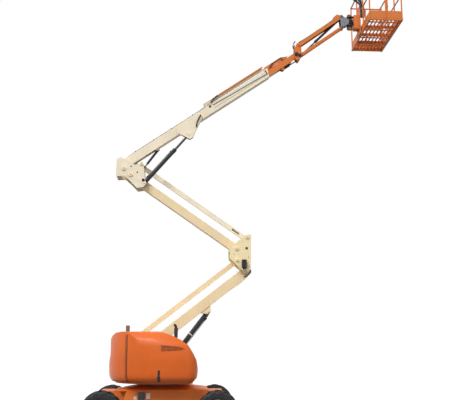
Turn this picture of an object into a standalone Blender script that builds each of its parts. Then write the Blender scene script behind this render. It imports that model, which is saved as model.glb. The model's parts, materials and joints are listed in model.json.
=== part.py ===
"""Articulating boom lift: chassis, turret, two risers, telescopic boom, jib and basket.

The machine stands on Z = 0 and drives along X, with the boom reaching towards +X.
Every arm is modelled along its own +X axis, under an empty that sits on its pivot and
carries the arm's angle, so the pose in the photograph is set by four angles.
"""

import math

import bmesh
import bpy
from mathutils import Matrix, Vector

for old_object in list(bpy.data.objects):
    bpy.data.objects.remove(old_object, do_unlink=True)

# Clearances
SEAT = 0.0003
SLIDE_FIT = 0.0006
PIN_FIT = 0.0015

# Chassis and wheels
WHEELBASE = 2.36
TRACK = 1.98
TYRE_RADIUS = 0.425
TYRE_WIDTH = 0.31
LUG_DEPTH = 0.024
LUG_PAIRS = 14
RIM_RADIUS = 0.215
KINGPIN_TRACK = 1.54
KNUCKLE_ARM = 0.17
DECK_Z = 0.91
DECK_EDGE_Z = 0.835
BELLY_Z = 0.44
CHASSIS_WALL = 0.022
STEER_BAY = 0.47
DRIVE_BAY = 0.20
BODY_WIDTH = 1.32
NOSE_WIDTH = 0.68
NOSE_OVERHANG = 0.12
NOSE_BOTTOM_Z = 0.59
AXLE_HEIGHT = 0.15
AXLE_DEPTH = 0.15
SLEW_RADIUS = 0.42
SLEW_HEIGHT = 0.055

# Turret
TURRET_PLATE = 0.03
TAIL_RADIUS = 1.16
HOOD_FRONT_X = 0.77
HOOD_TOP_Z = 2.03
HOOD_INNER_Y = 0.365
HOOD_SIDE_INSET = 0.07
HOOD_WALL = 0.02
SEAM_SETBACK = 0.415
TANK_SETBACK = 0.61
TANK_CLEARANCE = 0.23
CHEEK_THICKNESS = 0.03
CHEEK_Y = 0.285
WEIGHT_DEPTH = 0.36

# Risers
RISER_SETBACK = 0.571
RISER_FOOT_REACH = 0.559
RISER_PIVOT_Z = 1.488
LOWER_RISER_ANGLE = 37.8
LOWER_RISER_LENGTH = 3.10
UPPER_RISER_ANGLE = 34.7
UPPER_RISER_LENGTH = 2.94
RISER_WIDTH = 0.18
LOWER_RISER_DEPTH = 0.21
UPPER_RISER_DEPTH = 0.185
RISER_WALL = 0.012
LINK_OFFSET_X = -0.232
LINK_OFFSET_Z = 0.233
UPPER_LINK_OFFSET_X = 0.242
UPPER_LINK_OFFSET_Z = 0.257
LINK_DEPTH = 0.105
LINK_WIDTH = 0.07
LINK_WALL = 0.01
LINK_Y = 0.146
UPRIGHT_HEIGHT = 0.495
UPRIGHT_SHIFT_X = -0.243
PLATE_THICKNESS = 0.02
PLATE_Y = 0.215
PIN_RADIUS = 0.032

# Boom
BOOM_PIVOT_X = -0.159
BOOM_PIVOT_Z = 0.14
BOOM_ANGLE = 34.7
BOOM_LENGTH = 4.10
BOOM_WIDTH = 0.19
BOOM_DEPTH = 0.205
BOOM_WALL = 0.012
FLY_WIDTH = 0.145
FLY_DEPTH = 0.145
FLY_WALL = 0.010
FLY_REACH = 4.74
FLY_TAIL = 1.0
BOOM_TRAVEL = 2.60

# Jib, rotator and basket
JIB_PIVOT_U = 4.98
JIB_PIVOT_N = 0.11
JIB_ANGLE = 36.2
JIB_LENGTH = 1.32
JIB_ARM_X = 0.085
JIB_ARM_LOW_Z = -0.022
JIB_ARM_RISE = 0.26
JIB_ARM_LEAN = -0.02
ROTATOR_OFFSET_X = 0.215
BASKET_LENGTH = 0.76
BASKET_WIDTH = 1.83
BASKET_FLOOR_Z = 9.257
BASKET_CENTRE_X = 5.089
RAIL_HEIGHT = 1.10
RAIL_RADIUS = 0.017
TOEBOARD_HEIGHT = 0.15

# Name: red, green, blue, roughness, metallic
FINISHES = {
    "orange": (0.62, 0.15, 0.025, 0.35, 0.0),
    "cream": (0.83, 0.70, 0.46, 0.45, 0.0),
    "tan": (0.76, 0.60, 0.38, 0.45, 0.0),
    "black_paint": (0.020, 0.020, 0.022, 0.40, 0.0),
    "rubber": (0.030, 0.030, 0.034, 0.85, 0.0),
    "rim_white": (0.70, 0.68, 0.63, 0.50, 0.0),
    "cast_grey": (0.16, 0.16, 0.17, 0.60, 0.5),
    "dark_steel": (0.075, 0.075, 0.080, 0.50, 0.6),
    "chrome": (0.72, 0.72, 0.74, 0.15, 1.0),
    "galvanised": (0.46, 0.47, 0.48, 0.45, 0.8),
    "exhaust_brown": (0.22, 0.16, 0.12, 0.70, 0.6),
}


def material(finish, name):
    """Return a new Principled material of a finish, named after its part."""
    red, green, blue, roughness, metallic = FINISHES[finish]
    made = bpy.data.materials.new(name + "_" + finish)
    made.use_nodes = True
    shader = made.node_tree.nodes["Principled BSDF"]
    shader.inputs["Base Color"].default_value = (red, green, blue, 1.0)
    shader.inputs["Roughness"].default_value = roughness
    shader.inputs["Metallic"].default_value = metallic
    made.diffuse_color = (red, green, blue, 1.0)
    return made


def mesh_of(vertices, faces):
    """Return an object with a closed mesh whose faces point out."""
    shape = bmesh.new()
    points = [shape.verts.new(vertex) for vertex in vertices]
    for face in faces:
        shape.faces.new([points[index] for index in face])
    bmesh.ops.recalc_face_normals(shape, faces=shape.faces)
    mesh = bpy.data.meshes.new("shape")
    shape.to_mesh(mesh)
    shape.free()
    made = bpy.data.objects.new("shape", mesh)
    bpy.context.scene.collection.objects.link(made)
    return made


def loft(sections, closed=False):
    """Return a solid that bridges equal closed sections, capped unless it closes."""
    count = len(sections[0])
    vertices = [tuple(point) for section in sections for point in section]
    faces = []
    spans = len(sections) if closed else len(sections) - 1
    for span in range(spans):
        here = span * count
        there = ((span + 1) % len(sections)) * count
        for index in range(count):
            after = (index + 1) % count
            faces.append((here + index, here + after, there + after, there + index))
    if not closed:
        faces.append(tuple(range(count)))
        last = (len(sections) - 1) * count
        faces.append(tuple(last + index for index in reversed(range(count))))
    return mesh_of(vertices, faces)


def plate_y(outline, y_low, y_high):
    """Return an XZ outline extruded along Y."""
    low = [(x, y_low, z) for x, z in outline]
    high = [(x, y_high, z) for x, z in outline]
    return loft([low, high])


def plate_x(outline, x_low, x_high):
    """Return a YZ outline extruded along X."""
    low = [(x_low, y, z) for y, z in outline]
    high = [(x_high, y, z) for y, z in outline]
    return loft([low, high])


def plate_z(outline, z_low, z_high):
    """Return an XY outline extruded along Z."""
    low = [(x, y, z_low) for x, y in outline]
    high = [(x, y, z_high) for x, y in outline]
    return loft([low, high])


def box(x_low, x_high, y_low, y_high, z_low, z_high):
    """Return a box between its limits."""
    outline = [(x_low, z_low), (x_high, z_low), (x_high, z_high), (x_low, z_high)]
    return plate_y(outline, y_low, y_high)


def frame_at(start, end):
    """Return two unit vectors across the line from start to end."""
    along = (Vector(end) - Vector(start)).normalized()
    helper = Vector((0, 1, 0)) if abs(along.y) < 0.9 else Vector((1, 0, 0))
    side = along.cross(helper).normalized()
    return side, side.cross(along)


def circle(centre, side, rise, radius, segments):
    """Return the points of a circle in the plane of side and rise."""
    points = []
    for index in range(segments):
        angle = 2 * math.pi * (index + 0.5) / segments
        points.append(Vector(centre) + radius * (math.cos(angle) * side + math.sin(angle) * rise))
    return points


def bar(start, end, radius, segments=12, end_radius=None):
    """Return a round bar, or a cone if the end has its own radius."""
    side, rise = frame_at(start, end)
    last = radius if end_radius is None else end_radius
    return loft([circle(start, side, rise, radius, segments), circle(end, side, rise, last, segments)])


def pin_y(x, z, y_low, y_high, radius=PIN_RADIUS, segments=12):
    """Return a round pin along Y."""
    return bar((x, y_low, z), (x, y_high, z), radius, segments)


def bent_tube(route, radius, segments=8):
    """Return a solid round bar along a route, mitred at each bend."""
    route = [Vector(point) for point in route]
    sections = []
    side, rise = frame_at(route[0], route[1])
    for index, point in enumerate(route):
        before = (point - route[index - 1]).normalized() if index else None
        after = (route[index + 1] - point).normalized() if index < len(route) - 1 else None
        along = before or after
        if before and after:
            along = (before + after).normalized()
        direction = before or after
        side = (side - direction * side.dot(direction)).normalized()
        rise = direction.cross(side)
        section = []
        for step in range(segments):
            angle = 2 * math.pi * (step + 0.5) / segments
            offset = radius * (math.cos(angle) * side + math.sin(angle) * rise)
            slide = -offset.dot(along) / direction.dot(along)
            section.append(point + offset + direction * slide)
        sections.append(section)
        if after:
            turn = direction.rotation_difference(after)
            side = turn @ side
    return loft(sections)


def lathe_y(profile, centre_x, centre_z, segments=24, closed=True):
    """Return a profile of (radius, y) points turned about a Y axis."""
    sections = []
    for index in range(segments):
        angle = 2 * math.pi * index / segments
        section = []
        for radius, y in profile:
            section.append((centre_x + radius * math.cos(angle), y, centre_z + radius * math.sin(angle)))
        sections.append(section)
    return loft(sections, closed=closed)


def arc(centre_x, centre_z, radius, start, end, steps):
    """Return points of an arc in degrees, both ends included."""
    points = []
    for index in range(steps + 1):
        angle = math.radians(start + (end - start) * index / steps)
        points.append((centre_x + radius * math.cos(angle), centre_z + radius * math.sin(angle)))
    return points


def rectangle_tube(x_low, x_high, width, z_low, z_high, wall):
    """Return a rectangular tube along X, open at both ends."""
    shell = box(x_low, x_high, -width / 2, width / 2, z_low, z_high)
    bore = box(x_low - 0.01, x_high + 0.01, wall - width / 2, width / 2 - wall, z_low + wall, z_high - wall)
    return joined([shell], [bore])


def joined(solids, cutters=(), overlap=()):
    """Return one object: the union of the solids, kept inside overlap, less the cutters."""
    base = solids[0]
    for operation, group in (("UNION", solids[1:]), ("INTERSECT", overlap), ("DIFFERENCE", cutters)):
        for tool in group:
            tool.hide_render = True
            tool.display_type = "WIRE"
            boolean = base.modifiers.new("boolean", "BOOLEAN")
            boolean.operation = operation
            boolean.solver = "EXACT"
            boolean.object = tool
    bpy.context.view_layer.update()
    graph = bpy.context.evaluated_depsgraph_get()
    mesh = bpy.data.meshes.new_from_object(base.evaluated_get(graph))
    shape = bmesh.new()
    shape.from_mesh(mesh)
    bmesh.ops.remove_doubles(shape, verts=shape.verts, dist=0.00001)
    bmesh.ops.dissolve_limit(
        shape, angle_limit=0.0005, verts=shape.verts, edges=shape.edges, use_dissolve_boundaries=False
    )
    shape.to_mesh(mesh)
    shape.free()
    for tool in list(solids) + list(cutters) + list(overlap):
        bpy.data.objects.remove(tool, do_unlink=True)
    made = bpy.data.objects.new("shape", mesh)
    bpy.context.scene.collection.objects.link(made)
    return made


def node(name, finish, parent, solids, cutters=(), overlap=(), smooth=True):
    """Name a finished part, give it a material and hang it on its empty."""
    made = joined(solids, cutters, overlap) if len(solids) + len(cutters) + len(overlap) > 1 else solids[0]
    made.name = name
    made.data.name = name
    made.data.materials.clear()
    made.data.materials.append(material(finish, name))
    made.parent = parent
    if smooth:
        made.data.shade_smooth()
        made.data.set_sharp_from_angle(angle=math.radians(35))
    return made


def pivot(name, parent, x=0.0, y=0.0, z=0.0, angle=0.0):
    """Return an empty on a joint, turned so that its +X rises by an angle in degrees."""
    made = bpy.data.objects.new(name, None)
    bpy.context.scene.collection.objects.link(made)
    made.parent = parent
    made.location = (x, y, z)
    made.rotation_euler = (0.0, -math.radians(angle), 0.0)
    made.empty_display_size = 0.1
    return made


def polar(x, z, angle, along, rise=0.0):
    """Return the XZ point that lies along and above an arm from its pivot."""
    turn = math.radians(angle)
    return (
        x + along * math.cos(turn) - rise * math.sin(turn),
        z + along * math.sin(turn) + rise * math.cos(turn),
    )


def line_angle(start, end):
    """Return the length and the angle in degrees of the line between two XZ points."""
    run = end[0] - start[0]
    rise = end[1] - start[1]
    return math.hypot(run, rise), math.degrees(math.atan2(rise, run))


# Chassis
machine = pivot("machine", None)
axle_z = TYRE_RADIUS
steer_x = -WHEELBASE / 2
drive_x = WHEELBASE / 2
body_rear_x = steer_x + STEER_BAY
body_front_x = drive_x - DRIVE_BAY
nose_reach = drive_x + NOSE_OVERHANG
half_body = BODY_WIDTH / 2
half_nose = NOSE_WIDTH / 2
axle_top = axle_z + AXLE_HEIGHT / 2
nose_top = DECK_EDGE_Z - 0.035
body_plan = [
    (body_front_x, -half_body),
    (body_front_x, half_body),
    (body_rear_x, half_body),
    (body_rear_x - 0.08, half_body - 0.14),
    (body_rear_x - 0.28, half_body - 0.18),
    (body_rear_x - 0.28, -half_body + 0.18),
    (body_rear_x - 0.08, -half_body + 0.14),
    (body_rear_x, -half_body),
]
deck_rear = body_rear_x - 0.16
deck_flat = SLEW_RADIUS + 0.03


def deck(rear, front, edge_y, edge_z, flat, top_z, bottom_z):
    """Return the hipped deck, which slopes down from the slew ring's flat."""
    low = [(rear, -edge_y), (front, -edge_y), (front, edge_y), (rear, edge_y)]
    high = [(-flat, -flat), (flat, -flat), (flat, flat), (-flat, flat)]
    sections = [[(x, y, bottom_z) for x, y in low], [(x, y, edge_z) for x, y in low]]
    sections.append([(x, y, top_z) for x, y in high])
    return loft(sections)


def inset_plan(plan, wall):
    """Return a plan outline moved in by a wall on each side of the centre lines."""
    return [(x - math.copysign(wall, x), y - math.copysign(wall, y)) for x, y in plan]


nose_rear = box(-nose_reach, body_rear_x - 0.2, -half_nose, half_nose, NOSE_BOTTOM_Z, nose_top)
nose_front = box(body_front_x - 0.02, nose_reach, -half_nose, half_nose, NOSE_BOTTOM_Z, nose_top)
node(
    "chassis_frame",
    "orange",
    machine,
    [
        plate_z(body_plan, BELLY_Z, DECK_EDGE_Z - 0.01),
        deck(deck_rear, body_front_x + 0.01, half_body, DECK_EDGE_Z, deck_flat, DECK_Z, DECK_EDGE_Z - 0.03),
        nose_rear,
        nose_front,
    ],
    [
        plate_z(inset_plan(body_plan, CHASSIS_WALL), BELLY_Z - 0.01, DECK_EDGE_Z - 0.045),
        box(-nose_reach - 0.01, body_rear_x - 0.3, CHASSIS_WALL - half_nose, half_nose - CHASSIS_WALL,
            NOSE_BOTTOM_Z + CHASSIS_WALL, nose_top - CHASSIS_WALL),
        box(body_front_x + 0.01, nose_reach + 0.01, CHASSIS_WALL - half_nose, half_nose - CHASSIS_WALL,
            NOSE_BOTTOM_Z + CHASSIS_WALL, nose_top - CHASSIS_WALL),
        box(body_front_x - 0.1, body_front_x + 0.02, -0.1, 0.1, BELLY_Z - 0.01, NOSE_BOTTOM_Z - 0.03),
    ],
    smooth=False,
)

# Steering axle, knuckles and tie rod
kingpin_y = KINGPIN_TRACK / 2
ear_low = 0.07
ear_high = 0.10
ear_radius = 0.05
knuckle_half = 0.045
spindle_radius = 0.045
arm_z = axle_z - ear_high - 0.03
tie_z = arm_z - 0.03
ARM_HALF = 0.012
COLLAR_RADIUS = 0.062
hub_inner = 0.005
collar_end = (TRACK - KINGPIN_TRACK) / 2 + hub_inner - SEAT
half_axle = AXLE_DEPTH / 2
beam_end = kingpin_y - 0.11
axle_parts = [
    box(steer_x - half_axle, steer_x + half_axle, -beam_end, beam_end, axle_z - AXLE_HEIGHT / 2, axle_top)
]
axle_cuts = []
for side in (-1, 1):
    saddle = sorted((side * (half_nose - 0.12), side * (half_nose - 0.02)))
    axle_parts.append(
        box(steer_x - 0.05, steer_x + 0.05, saddle[0], saddle[1], axle_z, NOSE_BOTTOM_Z - SEAT)
    )
    inner = side * (beam_end - 0.01)
    outer = side * (beam_end + 0.03)
    axle_parts.append(
        box(steer_x - ear_radius, steer_x + ear_radius, min(inner, outer), max(inner, outer),
            axle_z - ear_high, axle_z + ear_high)
    )
    for low, high in ((-ear_high, -ear_low), (ear_low, ear_high)):
        reach = side * kingpin_y
        near = side * (beam_end + 0.01)
        axle_parts.append(
            box(steer_x - ear_radius, steer_x + ear_radius, min(near, reach), max(near, reach),
                axle_z + low, axle_z + high)
        )
        axle_parts.append(
            bar((steer_x, reach, axle_z + low), (steer_x, reach, axle_z + high), ear_radius, 16)
        )
        axle_cuts.append(
            bar((steer_x, reach, axle_z + low - 0.01), (steer_x, reach, axle_z + high + 0.01),
                0.02 + PIN_FIT, 12)
        )
node("steer_axle", "black_paint", machine, axle_parts, axle_cuts)

knuckles = {}
for side, name in ((-1, "near"), (1, "far")):
    knuckle_empty = pivot("steer_pivot_" + name, machine, steer_x, side * kingpin_y, axle_z)
    knuckles[side] = knuckle_empty
    spindle_end = side * (TRACK / 2 - kingpin_y + 0.035)
    node(
        "knuckle_" + name,
        "dark_steel",
        knuckle_empty,
        [
            box(-knuckle_half, knuckle_half, -knuckle_half, knuckle_half, -ear_low + SEAT, ear_low - SEAT),
            bar((0, side * 0.03, 0), (0, side * collar_end, 0), COLLAR_RADIUS, 16),
            bar((0, side * 0.03, 0), (0, spindle_end, 0), spindle_radius, 16),
            bar((0, 0, -ear_high - 0.045), (0, 0, ear_high + 0.012), 0.02, 12),
            box(-0.03, KNUCKLE_ARM, -0.03, 0.03, arm_z - axle_z - ARM_HALF, arm_z - axle_z + ARM_HALF),
            bar((KNUCKLE_ARM, 0, tie_z - axle_z - 0.02), (KNUCKLE_ARM, 0, arm_z - axle_z), 0.012, 10),
        ],
    )
tie_empty = pivot("tie_rod_pivot", knuckles[-1], KNUCKLE_ARM, 0, tie_z - axle_z)
tie_boss = arm_z - ARM_HALF - tie_z - SEAT
tie_cuts = [
    bar((0, y, -0.03), (0, y, 0.03), 0.012 + PIN_FIT, 10) for y in (0, KINGPIN_TRACK)
]
node(
    "tie_rod",
    "dark_steel",
    tie_empty,
    [bar((0, 0.01, 0), (0, KINGPIN_TRACK - 0.01, 0), 0.014, 10)]
    + [bar((0, y, -0.014), (0, y, tie_boss), 0.028, 14) for y in (0, KINGPIN_TRACK)],
    tie_cuts,
)

# Drive axle with its differential, and the shaft from the gearbox
hub_y = TRACK / 2 + 0.035
diff_profile = [(0.0, -0.17), (0.075, -0.16), (0.125, -0.09), (0.145, 0.0), (0.125, 0.09), (0.075, 0.16), (0.0, 0.17)]


def turned_y(profile, x, z, segments=14):
    """Return a solid of revolution about Y whose profile starts and ends on the axis."""
    vertices = [(x, profile[0][1], z)]
    for radius, y in profile[1:-1]:
        for index in range(segments):
            angle = 2 * math.pi * index / segments
            vertices.append((x + radius * math.cos(angle), y, z + radius * math.sin(angle)))
    vertices.append((x, profile[-1][1], z))
    faces = []
    rings = len(profile) - 2
    for index in range(segments):
        after = (index + 1) % segments
        faces.append((0, 1 + index, 1 + after))
        for ring in range(rings - 1):
            low = 1 + ring * segments
            high = low + segments
            faces.append((low + index, high + index, high + after, low + after))
        last = 1 + (rings - 1) * segments
        faces.append((last + index, len(vertices) - 1, last + after))
    return mesh_of(vertices, faces)


drive_parts = [
    turned_y(diff_profile, drive_x, axle_z),
    bar((drive_x - 0.23, 0, axle_z), (drive_x - 0.05, 0, axle_z), 0.05, 14),
    bar((drive_x, -hub_y, axle_z), (drive_x, hub_y, axle_z), spindle_radius, 16),
    bar((drive_x, -kingpin_y - collar_end, axle_z), (drive_x, kingpin_y + collar_end, axle_z), COLLAR_RADIUS, 16),
]
for side in (-1, 1):
    reach = sorted((side * (kingpin_y - 0.03), side * (kingpin_y + 0.03)))
    drive_parts.append(
        bar((drive_x, reach[0], axle_z), (drive_x, reach[1], axle_z), 0.095, 18)
    )
    saddle = sorted((side * (half_nose - 0.12), side * (half_nose - 0.02)))
    drive_parts.append(
        box(drive_x - 0.05, drive_x + 0.05, saddle[0], saddle[1], axle_z, NOSE_BOTTOM_Z - SEAT)
    )
node("drive_axle", "black_paint", machine, drive_parts)
gearbox_x = 0.18
shaft_start = gearbox_x + 0.2
shaft_end = drive_x - 0.23 - SEAT
node(
    "propshaft",
    "dark_steel",
    machine,
    [
        bar((shaft_start - 0.03, 0, axle_z + 0.05), (shaft_end - 0.06, 0, axle_z + 0.008), 0.032, 12),
        bar((shaft_end - 0.07, 0, axle_z), (shaft_end, 0, axle_z), 0.048, 14),
        box(gearbox_x - 0.17, shaft_start, -0.15, 0.15, axle_z - 0.08, DECK_EDGE_Z - 0.045 - SEAT),
        box(gearbox_x - 0.17, shaft_start - 0.02, 0.1, 0.30, axle_z + 0.02, axle_z + 0.22),
    ],
)
node(
    "slew_ring",
    "dark_steel",
    machine,
    [
        bar((0, 0, DECK_Z + SEAT), (0, 0, DECK_Z + SLEW_HEIGHT), SLEW_RADIUS, 40),
    ],
    [bar((0, 0, DECK_Z - 0.01), (0, 0, DECK_Z + SLEW_HEIGHT + 0.01), SLEW_RADIUS - 0.09, 32)],
)

# Wheels: each tyre is a turned section whose tread faces are raised into staggered lugs
half_tyre = TYRE_WIDTH / 2
carcass = TYRE_RADIUS - LUG_DEPTH
rim_seat = half_tyre - 0.037
groove = 0.013
rim_lip = RIM_RADIUS + 0.022
rim_edge = rim_seat + SEAT
tyre_profile = [
    (RIM_RADIUS + SEAT, -rim_seat),
    (RIM_RADIUS + SEAT, rim_seat),
    (rim_lip + SEAT, rim_seat),
    (RIM_RADIUS + 0.035, half_tyre - 0.022),
    (RIM_RADIUS + 0.090, half_tyre),
    (carcass - 0.040, half_tyre - 0.004),
    (carcass, half_tyre - 0.034),
    (carcass, groove),
    (carcass, -groove),
    (carcass, -half_tyre + 0.034),
    (carcass - 0.040, -half_tyre + 0.004),
    (RIM_RADIUS + 0.090, -half_tyre),
    (RIM_RADIUS + 0.035, -half_tyre + 0.022),
    (rim_lip + SEAT, -rim_seat),
]
LUG_BANDS = ((5, 6), (8, 9))


def tyre(name, parent):
    """Return a tyre with slanted lugs, raised on alternate sides of the centre."""
    segments = 2 * LUG_PAIRS
    shape = bmesh.new()
    rings = []
    for step in range(segments):
        ring = []
        for radius, y in tyre_profile:
            slant = 0.9 * max(0.0, abs(y) - groove) / half_tyre if radius > RIM_RADIUS + 0.1 else 0.0
            angle = 2 * math.pi * (step + slant) / segments
            ring.append(shape.verts.new((radius * math.cos(angle), y, radius * math.sin(angle))))
        rings.append(ring)
    count = len(tyre_profile)
    faces = {}
    for step in range(segments):
        here = rings[step]
        there = rings[(step + 1) % segments]
        for index in range(count):
            after = (index + 1) % count
            faces[step, index] = shape.faces.new((here[index], here[after], there[after], there[index]))
    bmesh.ops.recalc_face_normals(shape, faces=shape.faces)
    for step in range(segments):
        band = LUG_BANDS[step % 2]
        raised = bmesh.ops.extrude_face_region(shape, geom=[faces[step, index] for index in band])
        bmesh.ops.delete(shape, geom=[faces[step, index] for index in band], context="FACES_ONLY")
        for vertex in raised["geom"]:
            if isinstance(vertex, bmesh.types.BMVert):
                reach = math.hypot(vertex.co.x, vertex.co.z)
                grown = (reach + LUG_DEPTH) / reach
                vertex.co.x *= grown
                vertex.co.z *= grown
    bmesh.ops.recalc_face_normals(shape, faces=shape.faces)
    mesh = bpy.data.meshes.new(name)
    shape.to_mesh(mesh)
    shape.free()
    made = bpy.data.objects.new(name, mesh)
    bpy.context.scene.collection.objects.link(made)
    return node(name, "rubber", parent, [made], smooth=False)


disc_y = 0.055
rim_profile = [
    (spindle_radius + PIN_FIT, hub_inner),
    (0.090, hub_inner),
    (RIM_RADIUS - 0.026, disc_y - 0.012),
    (RIM_RADIUS - 0.014, -rim_edge - 0.010),
    (rim_lip, -rim_edge - 0.010),
    (rim_lip, -rim_edge),
    (RIM_RADIUS, -rim_edge),
    (RIM_RADIUS, rim_edge),
    (rim_lip, rim_edge),
    (rim_lip, rim_edge + 0.010),
    (RIM_RADIUS - 0.014, rim_edge + 0.010),
    (RIM_RADIUS - 0.026, disc_y + 0.012),
    (0.090, disc_y + 0.045),
    (spindle_radius + PIN_FIT, disc_y + 0.045),
]
wheel_corners = (
    ("near_rear", -1, steer_x, knuckles[-1]),
    ("far_rear", 1, steer_x, knuckles[1]),
    ("near_front", -1, drive_x, None),
    ("far_front", 1, drive_x, None),
)
for corner, side, corner_x, carrier in wheel_corners:
    if carrier:
        spin = pivot("spin_" + corner, carrier, 0, side * (TRACK - KINGPIN_TRACK) / 2, 0)
    else:
        spin = pivot("spin_" + corner, machine, corner_x, side * TRACK / 2, axle_z)
    tyre("tyre_" + corner, spin)
    faced = [(radius, side * y) for radius, y in rim_profile]
    hub_cap = bar((0, side * (disc_y - 0.015), 0), (0, side * (disc_y + 0.062), 0), 0.055, 14)
    node("rim_" + corner, "rim_white", spin, [lathe_y(faced, 0, 0, 2 * LUG_PAIRS), hub_cap])


# Turret: everything below turns about Z on the slew ring
turret = pivot("swing_pivot", machine)
plate_low = DECK_Z + SLEW_HEIGHT + SEAT
plate_high = plate_low + TURRET_PLATE
hood_low = plate_high + SEAT
riser_pivot_x = RISER_SETBACK - TAIL_RADIUS
hood_outer_y = TAIL_RADIUS - HOOD_SIDE_INSET
hood_seam_x = SEAM_SETBACK - TAIL_RADIUS
tank_rear = TANK_SETBACK - TAIL_RADIUS
tank_side = hood_outer_y - TANK_CLEARANCE
cheek_top_pin = (riser_pivot_x + LINK_OFFSET_X, RISER_PIVOT_Z + LINK_OFFSET_Z)
corner_radius = 0.24
riser_foot = (riser_pivot_x + RISER_FOOT_REACH, 1.15)
foot_y = 0.082


def turret_plan(inset):
    """Return the plan of the turret: a round tail and a front with rounded corners."""
    radius = TAIL_RADIUS - inset
    half = hood_outer_y - inset
    front = HOOD_FRONT_X - inset
    start = 180 - math.degrees(math.asin(half / radius))
    points = arc(0, 0, radius, start, 360 - start, 14)
    points += arc(front - corner_radius, -half + corner_radius, corner_radius, -90, 0, 4)
    points += arc(front - corner_radius, half - corner_radius, corner_radius, 0, 90, 4)
    return points


def hood_profile(inset):
    """Return the hood's side outline: upright tail, flat top and a long sloping nose."""
    rear = -TAIL_RADIUS - 0.02 + inset
    top = HOOD_TOP_Z - inset
    front = HOOD_FRONT_X + 0.004 - inset
    outline = [
        (rear, hood_low),
        (rear, top - 0.36),
        (rear + 0.060, top - 0.19),
        (rear + 0.118, top - 0.085),
        (rear + 0.205, top - 0.022),
        (rear + 0.350, top),
        (-0.02, top),
        (0.17, top - 0.062),
        (0.38, top - 0.160),
        (0.55, top - 0.275),
        (0.655, top - 0.435),
        (0.735, top - 0.585),
        (front, top - 0.78),
        (front - 0.012, top - 0.93),
        (front - 0.065, hood_low),
    ]
    return outline


def hood_section(side, inset):
    """Return the hood's YZ outline: upright side that rolls over into the top."""
    half = hood_outer_y - inset
    top = HOOD_TOP_Z + 0.01 - inset
    inner = HOOD_INNER_Y if inset == 0 else HOOD_INNER_Y - 0.05
    points = [(inner, hood_low - (0.01 if inset else 0)), (half - 0.015, hood_low - (0.01 if inset else 0))]
    points += [(half, hood_low + 0.10), (half - 0.01, top - 0.30)]
    points += [(half - 0.055, top - 0.15), (half - 0.13, top - 0.055), (half - 0.24, top - 0.01), (half - 0.34, top)]
    points += [(inner, top)]
    return [(side * y, z) for y, z in points]


node(
    "turret_frame",
    "orange",
    turret,
    [
        plate_z(turret_plan(0.02), plate_low, plate_high),
    ]
    + [
        plate_y(
            [
                (cheek_top_pin[0] - 0.159, plate_high - 0.005),
                (0.52, plate_high - 0.005),
                (0.40, 1.32),
                (0.02, 1.48),
                (riser_pivot_x + 0.149, 1.60),
                (cheek_top_pin[0] + 0.10, cheek_top_pin[1] + 0.09),
                (cheek_top_pin[0] - 0.05, cheek_top_pin[1] + 0.10),
                (cheek_top_pin[0] - 0.13, cheek_top_pin[1] - 0.02),
                (cheek_top_pin[0] - 0.13, 1.30),
            ],
            side * CHEEK_Y - CHEEK_THICKNESS / 2,
            side * CHEEK_Y + CHEEK_THICKNESS / 2,
        )
        for side in (-1, 1)
    ]
    + [
        pin_y(riser_pivot_x, RISER_PIVOT_Z, -CHEEK_Y - 0.028, CHEEK_Y + 0.028, 0.04, 10),
        pin_y(cheek_top_pin[0], cheek_top_pin[1], -CHEEK_Y - 0.028, -CHEEK_Y + 0.03, 0.034, 10),
        pin_y(cheek_top_pin[0], cheek_top_pin[1], LINK_Y - LINK_WIDTH / 2 - 0.02, CHEEK_Y + 0.028, 0.034, 10),
        box(0.30, 0.33, -CHEEK_Y, CHEEK_Y, plate_high - 0.005, 1.03),
    ]
    + [
        plate_y(
            [
                (riser_foot[0] - 0.10, plate_high - 0.005),
                (riser_foot[0] + 0.10, plate_high - 0.005),
                (riser_foot[0] + 0.05, riser_foot[1] + 0.04),
                (riser_foot[0] - 0.05, riser_foot[1] + 0.04),
            ],
            side * foot_y - 0.008,
            side * foot_y + 0.008,
        )
        for side in (-1, 1)
    ],
    [
        bar((0, 0, plate_low - 0.01), (0, 0, plate_high + 0.01), 0.13, 24),
        plate_y([(-0.42, 1.12), (0.06, 1.12), (0.06, 1.34), (-0.30, 1.42)], -CHEEK_Y - 0.05, CHEEK_Y + 0.05),
    ],
    smooth=False,
)

# Counterweight: a casting that fills the tail below the stowed uprights
weight_radius = TAIL_RADIUS - 0.05
weight_front = WEIGHT_DEPTH - TAIL_RADIUS
weight_angle = math.degrees(math.acos(-weight_front / weight_radius))
weight_plan = arc(0, 0, weight_radius, 180 - weight_angle, 180 + weight_angle, 12)
node(
    "counterweight",
    "cast_grey",
    turret,
    [plate_z(weight_plan, hood_low, 1.56)],
    [
        box(-TAIL_RADIUS - 0.1, weight_front + 0.1, -HOOD_INNER_Y + 0.01, HOOD_INNER_Y - 0.01, 1.36, 1.70),
        box(cheek_top_pin[0] - 0.179, weight_front + 0.1, -CHEEK_Y - 0.03, CHEEK_Y + 0.03, hood_low - 0.01, 1.70),
    ],
)
node(
    "tail_casting",
    "orange",
    turret,
    [plate_z(turret_plan(0.0), hood_low, 1.62)],
    [
        plate_z(arc(0, 0, TAIL_RADIUS - 0.045, 0, 350, 35), hood_low - 0.01, 1.70),
        box(-0.5, 2, -2, 2, 0, 3),
        box(-2, 0, HOOD_INNER_Y - SEAT, 2, 0, 3),
        box(-2, 0, -2, -HOOD_INNER_Y + SEAT, 0, 3),
    ],
)

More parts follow.
